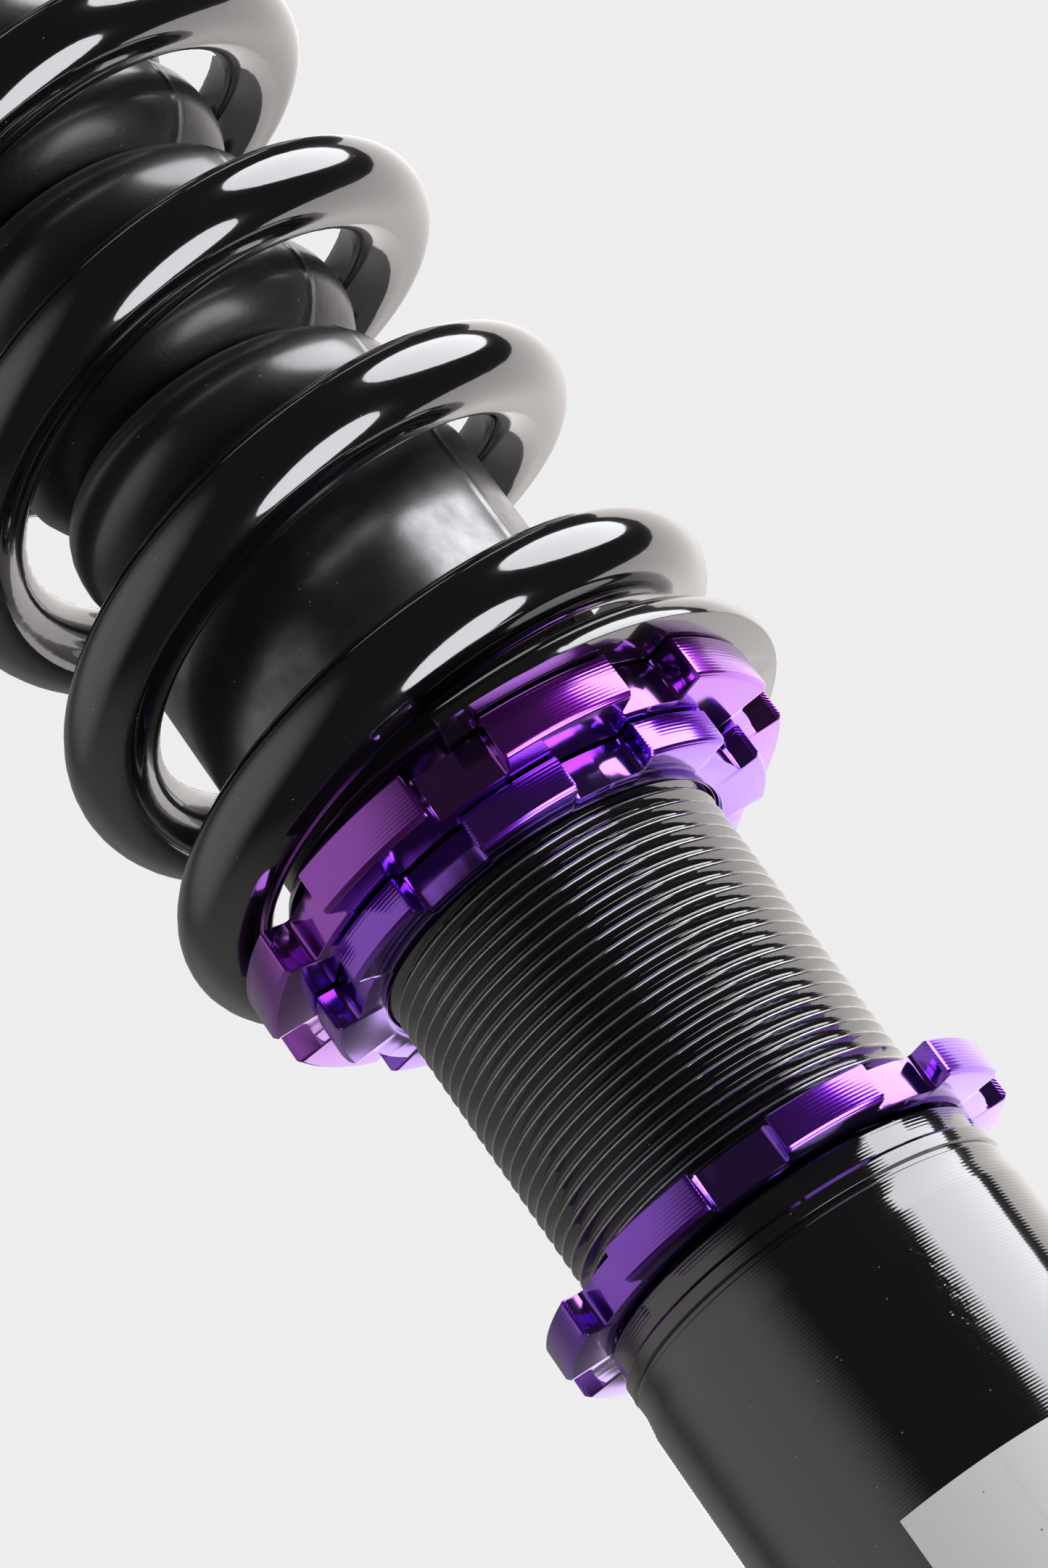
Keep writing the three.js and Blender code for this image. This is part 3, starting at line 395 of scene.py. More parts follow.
@dataclass
class ScrewThread:
    """A right-hand 60 degree thread with a rounded crest and root.

    Attributes:
        major: Radius over the crests, mm.
        pitch: Rise of one turn, mm.
        steps: Steps of one turn.
        crest: Width of the rounded crest as a share of the pitch.
        rounding: Drop of the crest's shoulders as a share of the pitch.
        depth: Depth as a share of the pitch.
        root: Half the width of the rounded root as a share of the pitch.
        root_rounding: How far its edges stand above the root's middle, as a share of the pitch.
        level: An edge this close to an end's height belongs to that end, mm.
    """

    major: float
    pitch: float
    steps: int = 72
    crest: float = 0.28
    rounding: float = 0.11
    depth: float = 0.57
    root: float = 0.11
    root_rounding: float = 0.05
    level: float = 0.01

    def profile(self, start: float) -> list[Point3]:
        """One pitch of the thread's outline upwards from a height, from root to root."""
        half = self.crest / 2
        shares = [
            (0.0, self.depth),
            (self.root, self.depth - self.root_rounding),
            (0.5 - half, self.rounding),
            (0.5 - half / 2, self.rounding / 4),
            (0.5, 0.0),
            (0.5 + half / 2, self.rounding / 4),
            (0.5 + half, self.rounding),
            (1 - self.root, self.depth - self.root_rounding),
            (1.0, self.depth),
        ]
        return [(self.major - drop * self.pitch, 0.0, start + rise * self.pitch) for rise, drop in shares]

    def cut(self, name: str, bottom: float, top: float, bore: float = 0.0) -> Object:
        """Makes a threaded length, square at both ends.

        Args:
            name: The new piece's name.
            bottom: Height of its lower end in mm.
            top: Height of its upper end in mm.
            bore: Radius of the hole through it in mm, 0 for a solid one.

        Returns:
            The closed piece.
        """
        piece = draw_line(name, self.profile(bottom - self.pitch), closed=False)
        screw = piece.modifiers.new("thread", "SCREW")
        screw.axis = "Z"
        screw.steps = self.steps
        screw.render_steps = self.steps
        screw.screw_offset = self.pitch * MM
        screw.iterations = math.ceil((top - bottom) / self.pitch) + 1
        screw.use_merge_vertices = True
        screw.merge_threshold = MERGE
        apply(piece, screw)
        with editing(piece):
            weld(outwards=False)
        solid = bore == 0
        slice_off(piece, bottom, keep_above=True, close=solid)
        slice_off(piece, top, keep_above=False, close=solid)
        if not solid:
            self.line_bore(piece, bottom, top, bore)
        with editing(piece):
            bpy.ops.mesh.normals_make_consistent(inside=False)
        return piece

    def line_bore(self, piece: Object, bottom: float, top: float, bore: float) -> None:
        """Adds a smooth bore inside an open thread and bridges both ends, all in mm."""
        with editing(piece):
            bpy.ops.mesh.select_all(action="DESELECT")
            bpy.ops.mesh.primitive_cylinder_add(vertices=self.steps, radius=bore * MM,
                                                depth=(top - bottom) * MM, end_fill_type="NOTHING",
                                                location=(0, 0, (top + bottom) / 2 * MM))
            for height in (bottom, top):
                bpy.ops.mesh.select_mode(type="EDGE")
                bpy.ops.mesh.select_all(action="DESELECT")
                mesh = bmesh.from_edit_mesh(piece.data)
                for edge in mesh.edges:
                    level = all(abs(v.co.z / MM - height) < self.level for v in edge.verts)
                    edge.select_set(level and edge.is_boundary)
                bmesh.update_edit_mesh(piece.data)
                bpy.ops.mesh.bridge_edge_loops()


# ---------------------------------------- finishes
def linear(colour: str) -> tuple[float, float, float, float]:
    """Turns an sRGB hex colour such as #6A1FB0 into linear light with alpha."""
    shares = [int(colour[i:i + 2], 16) / 255 for i in (1, 3, 5)]
    values = [s / 12.92 if s <= 0.04045 else ((s + 0.055) / 1.055) ** 2.4 for s in shares]
    return (values[0], values[1], values[2], 1.0)


def add_node(tree: NodeTree, kind: str, inputs: dict[str | int, Any] | None = None,
             **settings: Any) -> Node:
    """Adds a node to a tree.

    Args:
        tree: The material's or world's tree.
        kind: The node's type.
        inputs: Its sockets by name or number, each with a value or the output to link.
        settings: Its properties.

    Returns:
        The node.
    """
    made = tree.nodes.new(kind)
    for name, value in settings.items():
        setattr(made, name, value)
    for name, value in (inputs or {}).items():
        if isinstance(value, NodeSocket):
            tree.links.new(value, made.inputs[name])
        else:
            made.inputs[name].default_value = value
    return made


def calculate(tree: NodeTree, operation: str, *values: Scalar) -> NodeSocket:
    """Works out one of Blender's maths operations on numbers or outputs."""
    return add_node(tree, "ShaderNodeMath", dict(enumerate(values)), operation=operation).outputs[0]


def mix_values(tree: NodeTree, share: Scalar, first: Scalar, second: Scalar) -> NodeSocket:
    """Gives the first number where the share is 0 and the second where it is 1."""
    return add_node(tree, "ShaderNodeMix", {0: share, 2: first, 3: second}, data_type="FLOAT").outputs[0]


def mix_colours(tree: NodeTree, share: Scalar, first: Any, second: Any) -> NodeSocket:
    """Gives the first colour where the share is 0 and the second where it is 1."""
    return add_node(tree, "ShaderNodeMix", {0: share, 6: first, 7: second}, data_type="RGBA").outputs[2]


def map_range(tree: NodeTree, value: Scalar, source: Point2, target: Point2,
              smooth: bool = False) -> NodeSocket:
    """Maps a number from one range onto another, and holds it at both ends.

    Args:
        tree: The material's or world's tree.
        value: The number.
        source: Its range.
        target: The range that it is mapped onto.
        smooth: Whether it eases in and out.

    Returns:
        The mapped number.
    """
    inputs = {0: value, 1: source[0], 2: source[1], 3: target[0], 4: target[1]}
    kind = "SMOOTHSTEP" if smooth else "LINEAR"
    return add_node(tree, "ShaderNodeMapRange", inputs, interpolation_type=kind).outputs[0]


def place_on_part(tree: NodeTree) -> tuple[NodeSocket, ...]:
    """Gives the object coordinates, the height and the distance from the strut's axis, in metres."""
    where = add_node(tree, "ShaderNodeTexCoord").outputs["Object"]
    split = add_node(tree, "ShaderNodeSeparateXYZ", {0: where})
    level = add_node(tree, "ShaderNodeCombineXYZ", {0: split.outputs[0], 1: split.outputs[1]})
    radius = add_node(tree, "ShaderNodeVectorMath", {0: level.outputs[0]}, operation="LENGTH")
    return where, split.outputs[2], radius.outputs["Value"]


def lathe_lines(tree: NodeTree, pitch: float) -> NodeSocket:
    """Makes the fine feed lines that a lathe tool leaves, round the axis, on sides and flat ends alike.

    Args:
        tree: The material's tree.
        pitch: The tool's feed in mm a turn.

    Returns:
        A height from -1 to 1.
    """
    _, height, radius = place_on_part(tree)
    along = calculate(tree, "ADD", height, radius)
    return calculate(tree, "SINE", calculate(tree, "MULTIPLY", along, TURN / (pitch * MM)))


def cells(tree: NodeTree, spacing: float) -> NodeSocket:
    """Scatters points, spaced in mm, and gives the distance to the nearest as a share of the spacing."""
    where, _, _ = place_on_part(tree)
    scale = 1 / (spacing * MM)
    return add_node(tree, "ShaderNodeTexVoronoi", {"Vector": where, "Scale": scale}).outputs["Distance"]


def cloud(tree: NodeTree, size: float, detail: float, low: float, high: float) -> NodeSocket:
    """Makes a soft random pattern.

    Args:
        tree: The material's tree.
        size: Size of its patches in mm.
        detail: Octaves.
        low: Its least value.
        high: Its greatest value.

    Returns:
        The value, between low and high.
    """
    where, _, _ = place_on_part(tree)
    inputs = {"Vector": where, "Scale": 1 / (size * MM), "Detail": detail}
    noise = add_node(tree, "ShaderNodeTexNoise", inputs)
    return map_range(tree, noise.outputs[0], NOISE_RANGE, (low, high))


@dataclass(frozen=True)
class Finish:
    """A surface finish, made once and shared by all the pieces that carry it.

    Attributes:
        name: The material's name, after the real one.
        slot: The record's material slot; not used.
        colour: Base colour, sRGB hex.
        metallic: 1 for bare or anodised metal, 0 for paint and rubber.
        roughness: The surface's roughness, in its middle.
    """

    name: str
    slot: str
    colour: str
    metallic: float
    roughness: float

    def material(self) -> Material:
        """Returns the material, made on its first use."""
        found = bpy.data.materials.get(self.name)
        if found is not None:
            return found
        made = bpy.data.materials.new(self.name)
        made.use_nodes = True
        tree = made.node_tree
        shader = tree.nodes["Principled BSDF"]
        shader.inputs["Base Color"].default_value = linear(self.colour)
        shader.inputs["Metallic"].default_value = self.metallic
        shader.inputs["Roughness"].default_value = self.roughness
        self.dress(tree, shader)
        return made

    def dress(self, tree: NodeTree, shader: Node) -> None:
        """Adds the finish's own pattern to its shader; a plain finish has none."""

    def vary_roughness(self, tree: NodeTree, shader: Node, size: float, spread: float) -> None:
        """Lets the roughness drift by a spread over patches of a size in mm."""
        drift = cloud(tree, size, 3.0, self.roughness - spread, self.roughness + spread)
        tree.links.new(drift, shader.inputs["Roughness"])

    def raise_surface(self, tree: NodeTree, shader: Node, height: NodeSocket, depth: float) -> Node:
        """Bumps the surface by a height pattern whose unit is a depth in mm."""
        bump = add_node(tree, "ShaderNodeBump", {"Height": height, "Distance": depth * MM, "Strength": 1.0})
        tree.links.new(bump.outputs[0], shader.inputs["Normal"])
        return bump

    def dusted(self, tree: NodeTree, spacing: float, size: float, dust: str) -> NodeSocket:
        """Gives the base colour with small round grains of dust on it.

        Args:
            tree: The material's tree.
            spacing: Distance between grains in mm.
            size: Their radius as a share of the spacing.
            dust: Their colour, sRGB hex.

        Returns:
            The colour.
        """
        grain = calculate(tree, "LESS_THAN", cells(tree, spacing), size)
        return mix_colours(tree, grain, linear(self.colour), linear(dust))


@dataclass(frozen=True)
class TurnedAnodised(Finish):
    """Dyed anodised aluminium, turned on a lathe: a metallic colour with fine feed lines on the lands.

    Attributes:
        feed: Pitch of the feed lines, mm.
        depth: Their depth, mm.
        lined_radius: The lines show only farther out than this, where the lathe cut last; the milled
            slots inside it are smooth.
        milled_roughness: Roughness of those slots.
        patch: Size of the patches over which the lands' roughness drifts, mm.
        drift: How far it drifts either way.
        oxide: Index of refraction of the clear oxide layer.
        oxide_roughness: That layer's roughness.
    """

    feed: float = 0.5
    depth: float = 0.009
    lined_radius: float = 0.0
    milled_roughness: float = 0.09
    patch: float = 9.0
    drift: float = 0.03
    oxide: float = 2.1
    oxide_roughness: float = 0.12

    def dress(self, tree: NodeTree, shader: Node) -> None:
        """Adds the oxide layer, the feed lines and a faint drift of the gloss."""
        shader.inputs["Coat Weight"].default_value = 1.0
        shader.inputs["Coat IOR"].default_value = self.oxide
        shader.inputs["Coat Roughness"].default_value = self.oxide_roughness
        _, _, radius = place_on_part(tree)
        outside = calculate(tree, "GREATER_THAN", radius, self.lined_radius * MM)
        lines = calculate(tree, "MULTIPLY", lathe_lines(tree, self.feed), outside)
        bump = self.raise_surface(tree, shader, lines, self.depth)
        tree.links.new(bump.outputs[0], shader.inputs["Coat Normal"])
        lands = cloud(tree, self.patch, 3.0, self.roughness - self.drift, self.roughness + self.drift)
        tree.links.new(mix_values(tree, outside, self.milled_roughness, lands), shader.inputs["Roughness"])


@dataclass(frozen=True)
class GlossCoat(Finish):
    """Gloss black coating on steel: a dark base under a clear wet-looking film, with a faint
    orange-peel ripple and a few grains of dust.

    Attributes:
        ripple: Depth of the ripple, mm.
        ripple_size: Size of its waves, mm.
        feed: Pitch of lathe lines under the coat, mm, 0 for none.
        feed_depth: Their depth, mm.
        film: Weight of the clear film.
        film_roughness: Its roughness.
        lacquer: Its index of refraction.
        under: Index of refraction of the coat's dark base.
        patch: Size of the patches over which the base's roughness drifts, mm.
        drift: How far it drifts either way.
        dust: Radius of a dust grain as a share of the distance between grains.
        dust_spacing: That distance, mm.
        dust_colour: The grains' colour, sRGB hex.
        worn_radius: Beyond this distance from the axis, in mm, use has polished the coat to bare metal;
            0 for nowhere.
        worn_width: How far inside that radius the wear begins, mm.
        bare_colour: Colour of the bare metal, sRGB hex.
        mottled_at: Middle of the patch where the film has dried in pebbles, mm, if there is one.
        mottled_reach: That patch's half extents, mm.
        mottle: How much higher the pebbles are than the ripple.
        pebble: Size of a pebble, mm.
    """

    ripple: float = 0.004
    ripple_size: float = 2.5
    feed: float = 0.0
    feed_depth: float = 0.0
    film: float = 1.0
    film_roughness: float = 0.04
    lacquer: float = 2.15
    under: float = 1.35
    patch: float = 14.0
    drift: float = 0.04
    dust: float = 0.03
    dust_spacing: float = 3.1
    dust_colour: str = "#8C8A86"
    worn_radius: float = 0.0
    worn_width: float = 0.09
    bare_colour: str = "#B8B4AF"
    mottled_at: Point3 | None = None
    mottled_reach: Point3 = (6.5, 5.0, 16.0)
    mottle: float = 11.0
    pebble: float = 1.1

    def dress(self, tree: NodeTree, shader: Node) -> None:
        """Adds the film, the ripple, the lathe lines, the dust and the wear."""
        shader.inputs["IOR"].default_value = self.under
        shader.inputs["Coat Weight"].default_value = self.film
        shader.inputs["Coat Roughness"].default_value = self.film_roughness
        shader.inputs["Coat IOR"].default_value = self.lacquer
        self.vary_roughness(tree, shader, self.patch, self.drift)
        peel = cloud(tree, self.ripple_size, 2.0, 0.0, 1.0)
        if self.mottled_at:
            peel = self.add_pebbles(tree, peel)
        bump = self.raise_surface(tree, shader, peel, self.ripple)
        if self.feed:
            lines = add_node(tree, "ShaderNodeBump", {
                "Height": lathe_lines(tree, self.feed),
                "Distance": self.feed_depth * MM,
                "Strength": 1.0,
            })
            tree.links.new(lines.outputs[0], bump.inputs["Normal"])
        tree.links.new(bump.outputs[0], shader.inputs["Coat Normal"])
        colour = self.dusted(tree, self.dust_spacing, self.dust, self.dust_colour)
        if self.worn_radius:
            colour = self.wear(tree, shader, colour)
        tree.links.new(colour, shader.inputs["Base Color"])

    def add_pebbles(self, tree: NodeTree, peel: NodeSocket) -> NodeSocket:
        """Gives the ripple's height with the pebbled patch in it."""
        where, _, _ = place_on_part(tree)
        middle = tuple(value * MM for value in self.mottled_at)
        off = add_node(tree, "ShaderNodeVectorMath", {0: where, 1: middle}, operation="SUBTRACT")
        reach = tuple(value * MM for value in self.mottled_reach)
        share = add_node(tree, "ShaderNodeVectorMath", {0: off.outputs[0], 1: reach}, operation="DIVIDE")
        far = add_node(tree, "ShaderNodeVectorMath", {0: share.outputs[0]}, operation="LENGTH")
        inside = map_range(tree, far.outputs["Value"], (1.0, 0.5), (0.0, self.mottle))
        return calculate(tree, "MULTIPLY_ADD", cloud(tree, self.pebble, 1.0, 0.0, 1.0), inside, peel)

    def wear(self, tree: NodeTree, shader: Node, colour: NodeSocket) -> NodeSocket:
        """Polishes the outermost edges to bare metal and gives the colour with them in it."""
        _, _, radius = place_on_part(tree)
        begins = (self.worn_radius - self.worn_width) * MM
        worn = map_range(tree, radius, (begins, self.worn_radius * MM), (0.0, 1.0))
        tree.links.new(worn, shader.inputs["Metallic"])
        return mix_colours(tree, worn, colour, linear(self.bare_colour))


@dataclass(frozen=True)
class MouldedRubber(Finish):
    """Moulded black rubber: satin, dusty, with a fine skin and a blotchy waxy bloom.

    Attributes:
        index: Index of refraction.
        sheen: Weight of the dusty sheen at grazing angles.
        sheen_roughness: Its roughness.
        drift_patch: Size of the patches over which the roughness drifts, mm.
        drift: How far it drifts either way.
        grain: Depth of the skin's grain, mm.
        grain_size: Size of that grain, mm.
        dust: Radius of a dust grain as a share of the distance between grains.
        dust_spacing: That distance, mm.
        dust_colour: The grains' colour, sRGB hex.
        bloom: Greatest weight of the waxy bloom that carries the soft highlights.
        bloom_least: Its least weight, as a share of the greatest.
        bloom_roughness: Its roughness.
        bloom_index: Its index of refraction.
        bloom_in_painted_shade: Share of it that is left on faces that look down; this is painted shade,
            which dims the low lamp's reflection there.
        painted_shade_facing: Upward parts of the normal between which that share rises to 1.
        patch: Size of its blotches, mm.
    """

    index: float = 1.52
    sheen: float = 0.08
    sheen_roughness: float = 0.4
    drift_patch: float = 7.0
    drift: float = 0.07
    grain: float = 0.02
    grain_size: float = 0.8
    dust: float = 0.05
    dust_spacing: float = 2.6
    dust_colour: str = "#77746F"
    bloom: float = 0.0
    bloom_least: float = 0.4
    bloom_roughness: float = 0.24
    bloom_index: float = 2.5
    bloom_in_painted_shade: float = 1.0
    painted_shade_facing: Point2 = (-0.7, -0.2)
    patch: float = 4.5

    def dress(self, tree: NodeTree, shader: Node) -> None:
        """Adds the skin's grain, the drift of its gloss, the bloom and the dust."""
        if self.bloom:
            self.add_bloom(tree, shader)
        shader.inputs["IOR"].default_value = self.index
        shader.inputs["Sheen Weight"].default_value = self.sheen
        shader.inputs["Sheen Roughness"].default_value = self.sheen_roughness
        self.vary_roughness(tree, shader, self.drift_patch, self.drift)
        self.raise_surface(tree, shader, cloud(tree, self.grain_size, 4.0, 0.0, 1.0), self.grain)
        colour = self.dusted(tree, self.dust_spacing, self.dust, self.dust_colour)
        tree.links.new(colour, shader.inputs["Base Color"])

    def add_bloom(self, tree: NodeTree, shader: Node) -> None:
        """Lays the waxy bloom over the rubber as a coat, thinned on downward faces as painted shade."""
        shader.inputs["Coat IOR"].default_value = self.bloom_index
        shader.inputs["Coat Roughness"].default_value = self.bloom_roughness
        blotches = cloud(tree, self.patch, 4.0, self.bloom * self.bloom_least, self.bloom)
        facing = add_node(tree, "ShaderNodeTexCoord").outputs["Normal"]
        upwards = add_node(tree, "ShaderNodeSeparateXYZ", {0: facing}).outputs[2]
        # Painted shade: the bloom thins on faces that look down, so they mirror less of the low lamp.
        left = map_range(tree, upwards, self.painted_shade_facing, (self.bloom_in_painted_shade, 1.0))
        tree.links.new(calculate(tree, "MULTIPLY", blotches, left), shader.inputs["Coat Weight"])


@dataclass(frozen=True)
class GroundMetal(Finish):
    """Bare or plated metal with fine lines round the axis from grinding or turning.

    Attributes:
        feed: Pitch of the lines, mm.
        depth: Their depth, mm.
        patch: Size of the patches over which the roughness drifts, mm.
        drift: How far it drifts either way.
    """

    feed: float = 0.4
    depth: float = 0.003
    patch: float = 5.0
    drift: float = 0.06

    def dress(self, tree: NodeTree, shader: Node) -> None:
        """Adds the lines and the drift of the gloss."""
        self.raise_surface(tree, shader, lathe_lines(tree, self.feed), self.depth)
        self.vary_roughness(tree, shader, self.patch, self.drift)


@dataclass(frozen=True)
class CellFoam(Finish):
    """Cellular polyurethane: matt, with small open pores.

    Attributes:
        pore: Distance between pores, mm.
        depth: Their depth, mm.
    """

    pore: float = 0.7
    depth: float = 0.08

    def dress(self, tree: NodeTree, shader: Node) -> None:
        """Adds the pores."""
        self.raise_surface(tree, shader, cells(tree, self.pore), self.depth)


# Lathe-turned aluminium, anodised and dyed violet: coloured metal reflections, pale where a lamp shows.
VIOLET = TurnedAnodised("violet anodised aluminium", "violet_anodised", "#901CEE", metallic=1.0,
                        roughness=0.24, lined_radius=32.6)
# The same, from a dye bath that came out redder.
MAGENTA = TurnedAnodised("magenta-violet anodised aluminium", "violet_anodised", "#A814DB", metallic=1.0,
                         roughness=0.24, lined_radius=38.8)
# The same as on the rings, with shallower feed lines.
VIOLET_KNOB = TurnedAnodised("violet anodised aluminium, knob", "violet_anodised", "#901CEE", metallic=1.0,
                             roughness=0.24, depth=0.003)
# Hard black anodising over a cut thread: smooth, wet-looking black, worn bare on the crests.
BLACK_THREAD = GlossCoat("gloss black anodised thread", "black_anodised", "#0B0B0D", metallic=0.0,
                         roughness=0.2, worn_radius=25.0)
# Black anodised aluminium plate with a thin film, so its gloss is lower.
BLACK_PLATE = GlossCoat("satin black anodised plate", "black_anodised", "#101013", metallic=0.0,
                        roughness=0.35, film=0.35)
# Black coated steel tube whose lathe lines show through the film.
BLACK_BRACKET = GlossCoat("gloss black coated steel tube", "black_bracket", "#0B0B0C", metallic=0.0,
                          roughness=0.12, feed=0.45, feed_depth=0.0055, under=1.5, lacquer=1.95,
                          mottled_at=(7.4, -27.1, -349.0))
# Black coated sheet steel and weld beads.
BLACK_STRAP = GlossCoat("gloss black coated steel strap", "black_bracket", "#0B0B0C", metallic=0.0,
                        roughness=0.22)
# Gloss powder coat on spring wire.
SPRING_COAT = GlossCoat("gloss black powder coat", "spring_coat", "#08080A", metallic=0.0, roughness=0.16)
# Moulded rubber bellows with a smooth waxy bloom, thinned on downward faces as painted shade.
BOOT_RUBBER = MouldedRubber("satin black rubber", "boot_rubber", "#121113", metallic=0.0, roughness=0.42,
                            bloom=1.0, bloom_roughness=0.22, bloom_index=2.1, bloom_in_painted_shade=0.12, patch=30.0)
# The same rubber on the cuff, where the bloom is thick and blotchy.
CUFF_RUBBER = MouldedRubber("waxy black rubber", "boot_rubber", "#0F0F11", metallic=0.0, roughness=0.36,
                            bloom=1.0)
# Nitrile rubber of the seals: matt, with no bloom.
SEAL_RUBBER = MouldedRubber("matt black rubber", "seal_rubber", "#121213", metallic=0.0, roughness=0.6)
# Clear-passivated zinc on steel hardware.
ZINC = GroundMetal("zinc-plated steel", "zinc_steel", "#B9B8B0", metallic=1.0, roughness=0.34)
# Hardened bearing steel, ground.
GROUND_STEEL = GroundMetal("ground steel", "ground_steel", "#B4B4B6", metallic=1.0, roughness=0.26)
# Hard chrome, polished after grinding, so its lines are hardly there.
CHROME = GroundMetal("hard chrome", "hard_chrome", "#D9DBDE", metallic=1.0, roughness=0.09, depth=0.0004)
# Sintered bronze bushes and cage.
BRONZE = GroundMetal("sintered bronze", "bronze", "#9A763F", metallic=1.0, roughness=0.42)
# Bare aluminium, turned.
ALLOY = GroundMetal("machined aluminium", "bare_alloy", "#B9BBBD", metallic=1.0, roughness=0.32)
# Yellow microcellular foam.
FOAM = CellFoam("cellular polyurethane foam", "stop_foam", "#D9C77C", metallic=0.0, roughness=0.85)
# Plain white vinyl with nothing printed on it.
LABEL = MouldedRubber("white vinyl", "black_bracket", "#D6D6D8", metallic=0.0, roughness=0.42, grain=0.004)


def present(piece: Object, finish: Finish, body: str, stands_for: Sequence[str] = (),
            angle: float = SHARP_ANGLE) -> None:
    """Shades a finished piece, gives it its material and ties it to its body.

    Args:
        piece: The piece, in place.
        finish: Its finish.
        body: The body that it moves with.
        stands_for: The frame's nodes that it replaces.
        angle: Edges sharper than this stay sharp in the shading.
    """
    settle(piece)
    bpy.ops.object.shade_smooth_by_angle(angle=angle)
    piece.data.materials.clear()
    piece.data.materials.append(finish.material())
    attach(piece, body)
    if stands_for:
        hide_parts(*stands_for)
    LOG.info("%s: %d faces, rides on %s", piece.name, len(piece.data.polygons), body)


def heights(node: str) -> tuple[float, float]:
    """Lowest and highest height of a frame node in mm."""
    low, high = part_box(node)
    return low.z / MM, high.z / MM


# ---------------------------------------- coil spring
@dataclass
class CoilSpring:
    """The main spring: round wire wound right-handed, its ends closed and ground flat.

    Attributes:
        inner: Inside radius, mm.
        wire: Wire diameter, mm.
        turns: Turns from tip to tip.
        closed_turns: Turns of each closed end.
        closed_pitch: Rise of a closed turn, mm.
        blend: Half the stretch over which the pitch changes, in turns.
        tip_depth: How far the wire's centre starts below the ground face, mm.
        tip_angle: Where the lower tip is, in degrees from the front towards +X.
        stroke: How far the damper shortens it, mm; not used.
        steps: Points of the path in one turn.
        sides: Sides of the wire.
        grinding_edge: Width of the bevel round the ground faces, mm.
        bottom: Height of its lower ground face, mm, from the frame.
        length: Its free length, mm, from the frame.
    """

    inner: float = 31.0
    wire: float = 12.5
    turns: float = 7.88
    closed_turns: float = 1.06
    closed_pitch: float = 12.0
    blend: float = 0.4
    tip_depth: float = 1.9
    tip_angle: float = 2.5
    stroke: float = 90.0
    steps: int = 96
    sides: int = 32
    grinding_edge: float = 0.3
    bottom: float = field(init=False)
    length: float = field(init=False)

    def __post_init__(self) -> None:
        """Takes the spring's seat heights from the frame."""
        low, high = heights("main_spring")
        self.bottom = low
        self.length = high - low

    @property
    def closed_rise(self) -> float:
        """Height of the wire's centre where the closed end stops, mm."""
        return self.closed_pitch * self.closed_turns - self.tip_depth

    @property
    def pitch(self) -> float:
        """Pitch of the open coils, mm."""
        return (self.length - 2 * self.closed_rise) / (self.turns - 2 * self.closed_turns)

    def rise(self, turn: float) -> float:
        """Height of the wire's centre above the lower ground face after so many turns, mm."""
        if turn > self.turns / 2:
            return self.length - self.rise(self.turns - turn)
        past = turn - self.closed_turns
        closed = self.closed_pitch * turn - self.tip_depth
        if past <= -self.blend:
            return closed
        if past >= self.blend:
            return self.closed_rise + self.pitch * past
        return closed + (self.pitch - self.closed_pitch) * (past + self.blend) ** 2 / (4 * self.blend)

    def path(self) -> list[Point3]:
        """The wire's centre line in mm."""
        mean = self.inner + self.wire / 2
        count = round(self.turns * self.steps)
        points = []
        for i in range(count + 1):
            turn = self.turns * i / count
            angle = math.radians(self.tip_angle - 90) + turn * TURN
            points.append((mean * math.cos(angle), mean * math.sin(angle), self.bottom + self.rise(turn)))
        return points

    def build(self) -> None:
        """Winds the wire and grinds both ends flat."""
        piece = wire("spring_coil", self.path(), self.wire / 2, self.sides)
        slice_off(piece, self.bottom, keep_above=True)
        slice_off(piece, self.bottom + self.length, keep_above=False)
        soften(piece, self.grinding_edge, 2, 40.0)
        present(piece, SPRING_COAT, "perch", ["main_spring"], math.radians(50))
        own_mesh(piece)


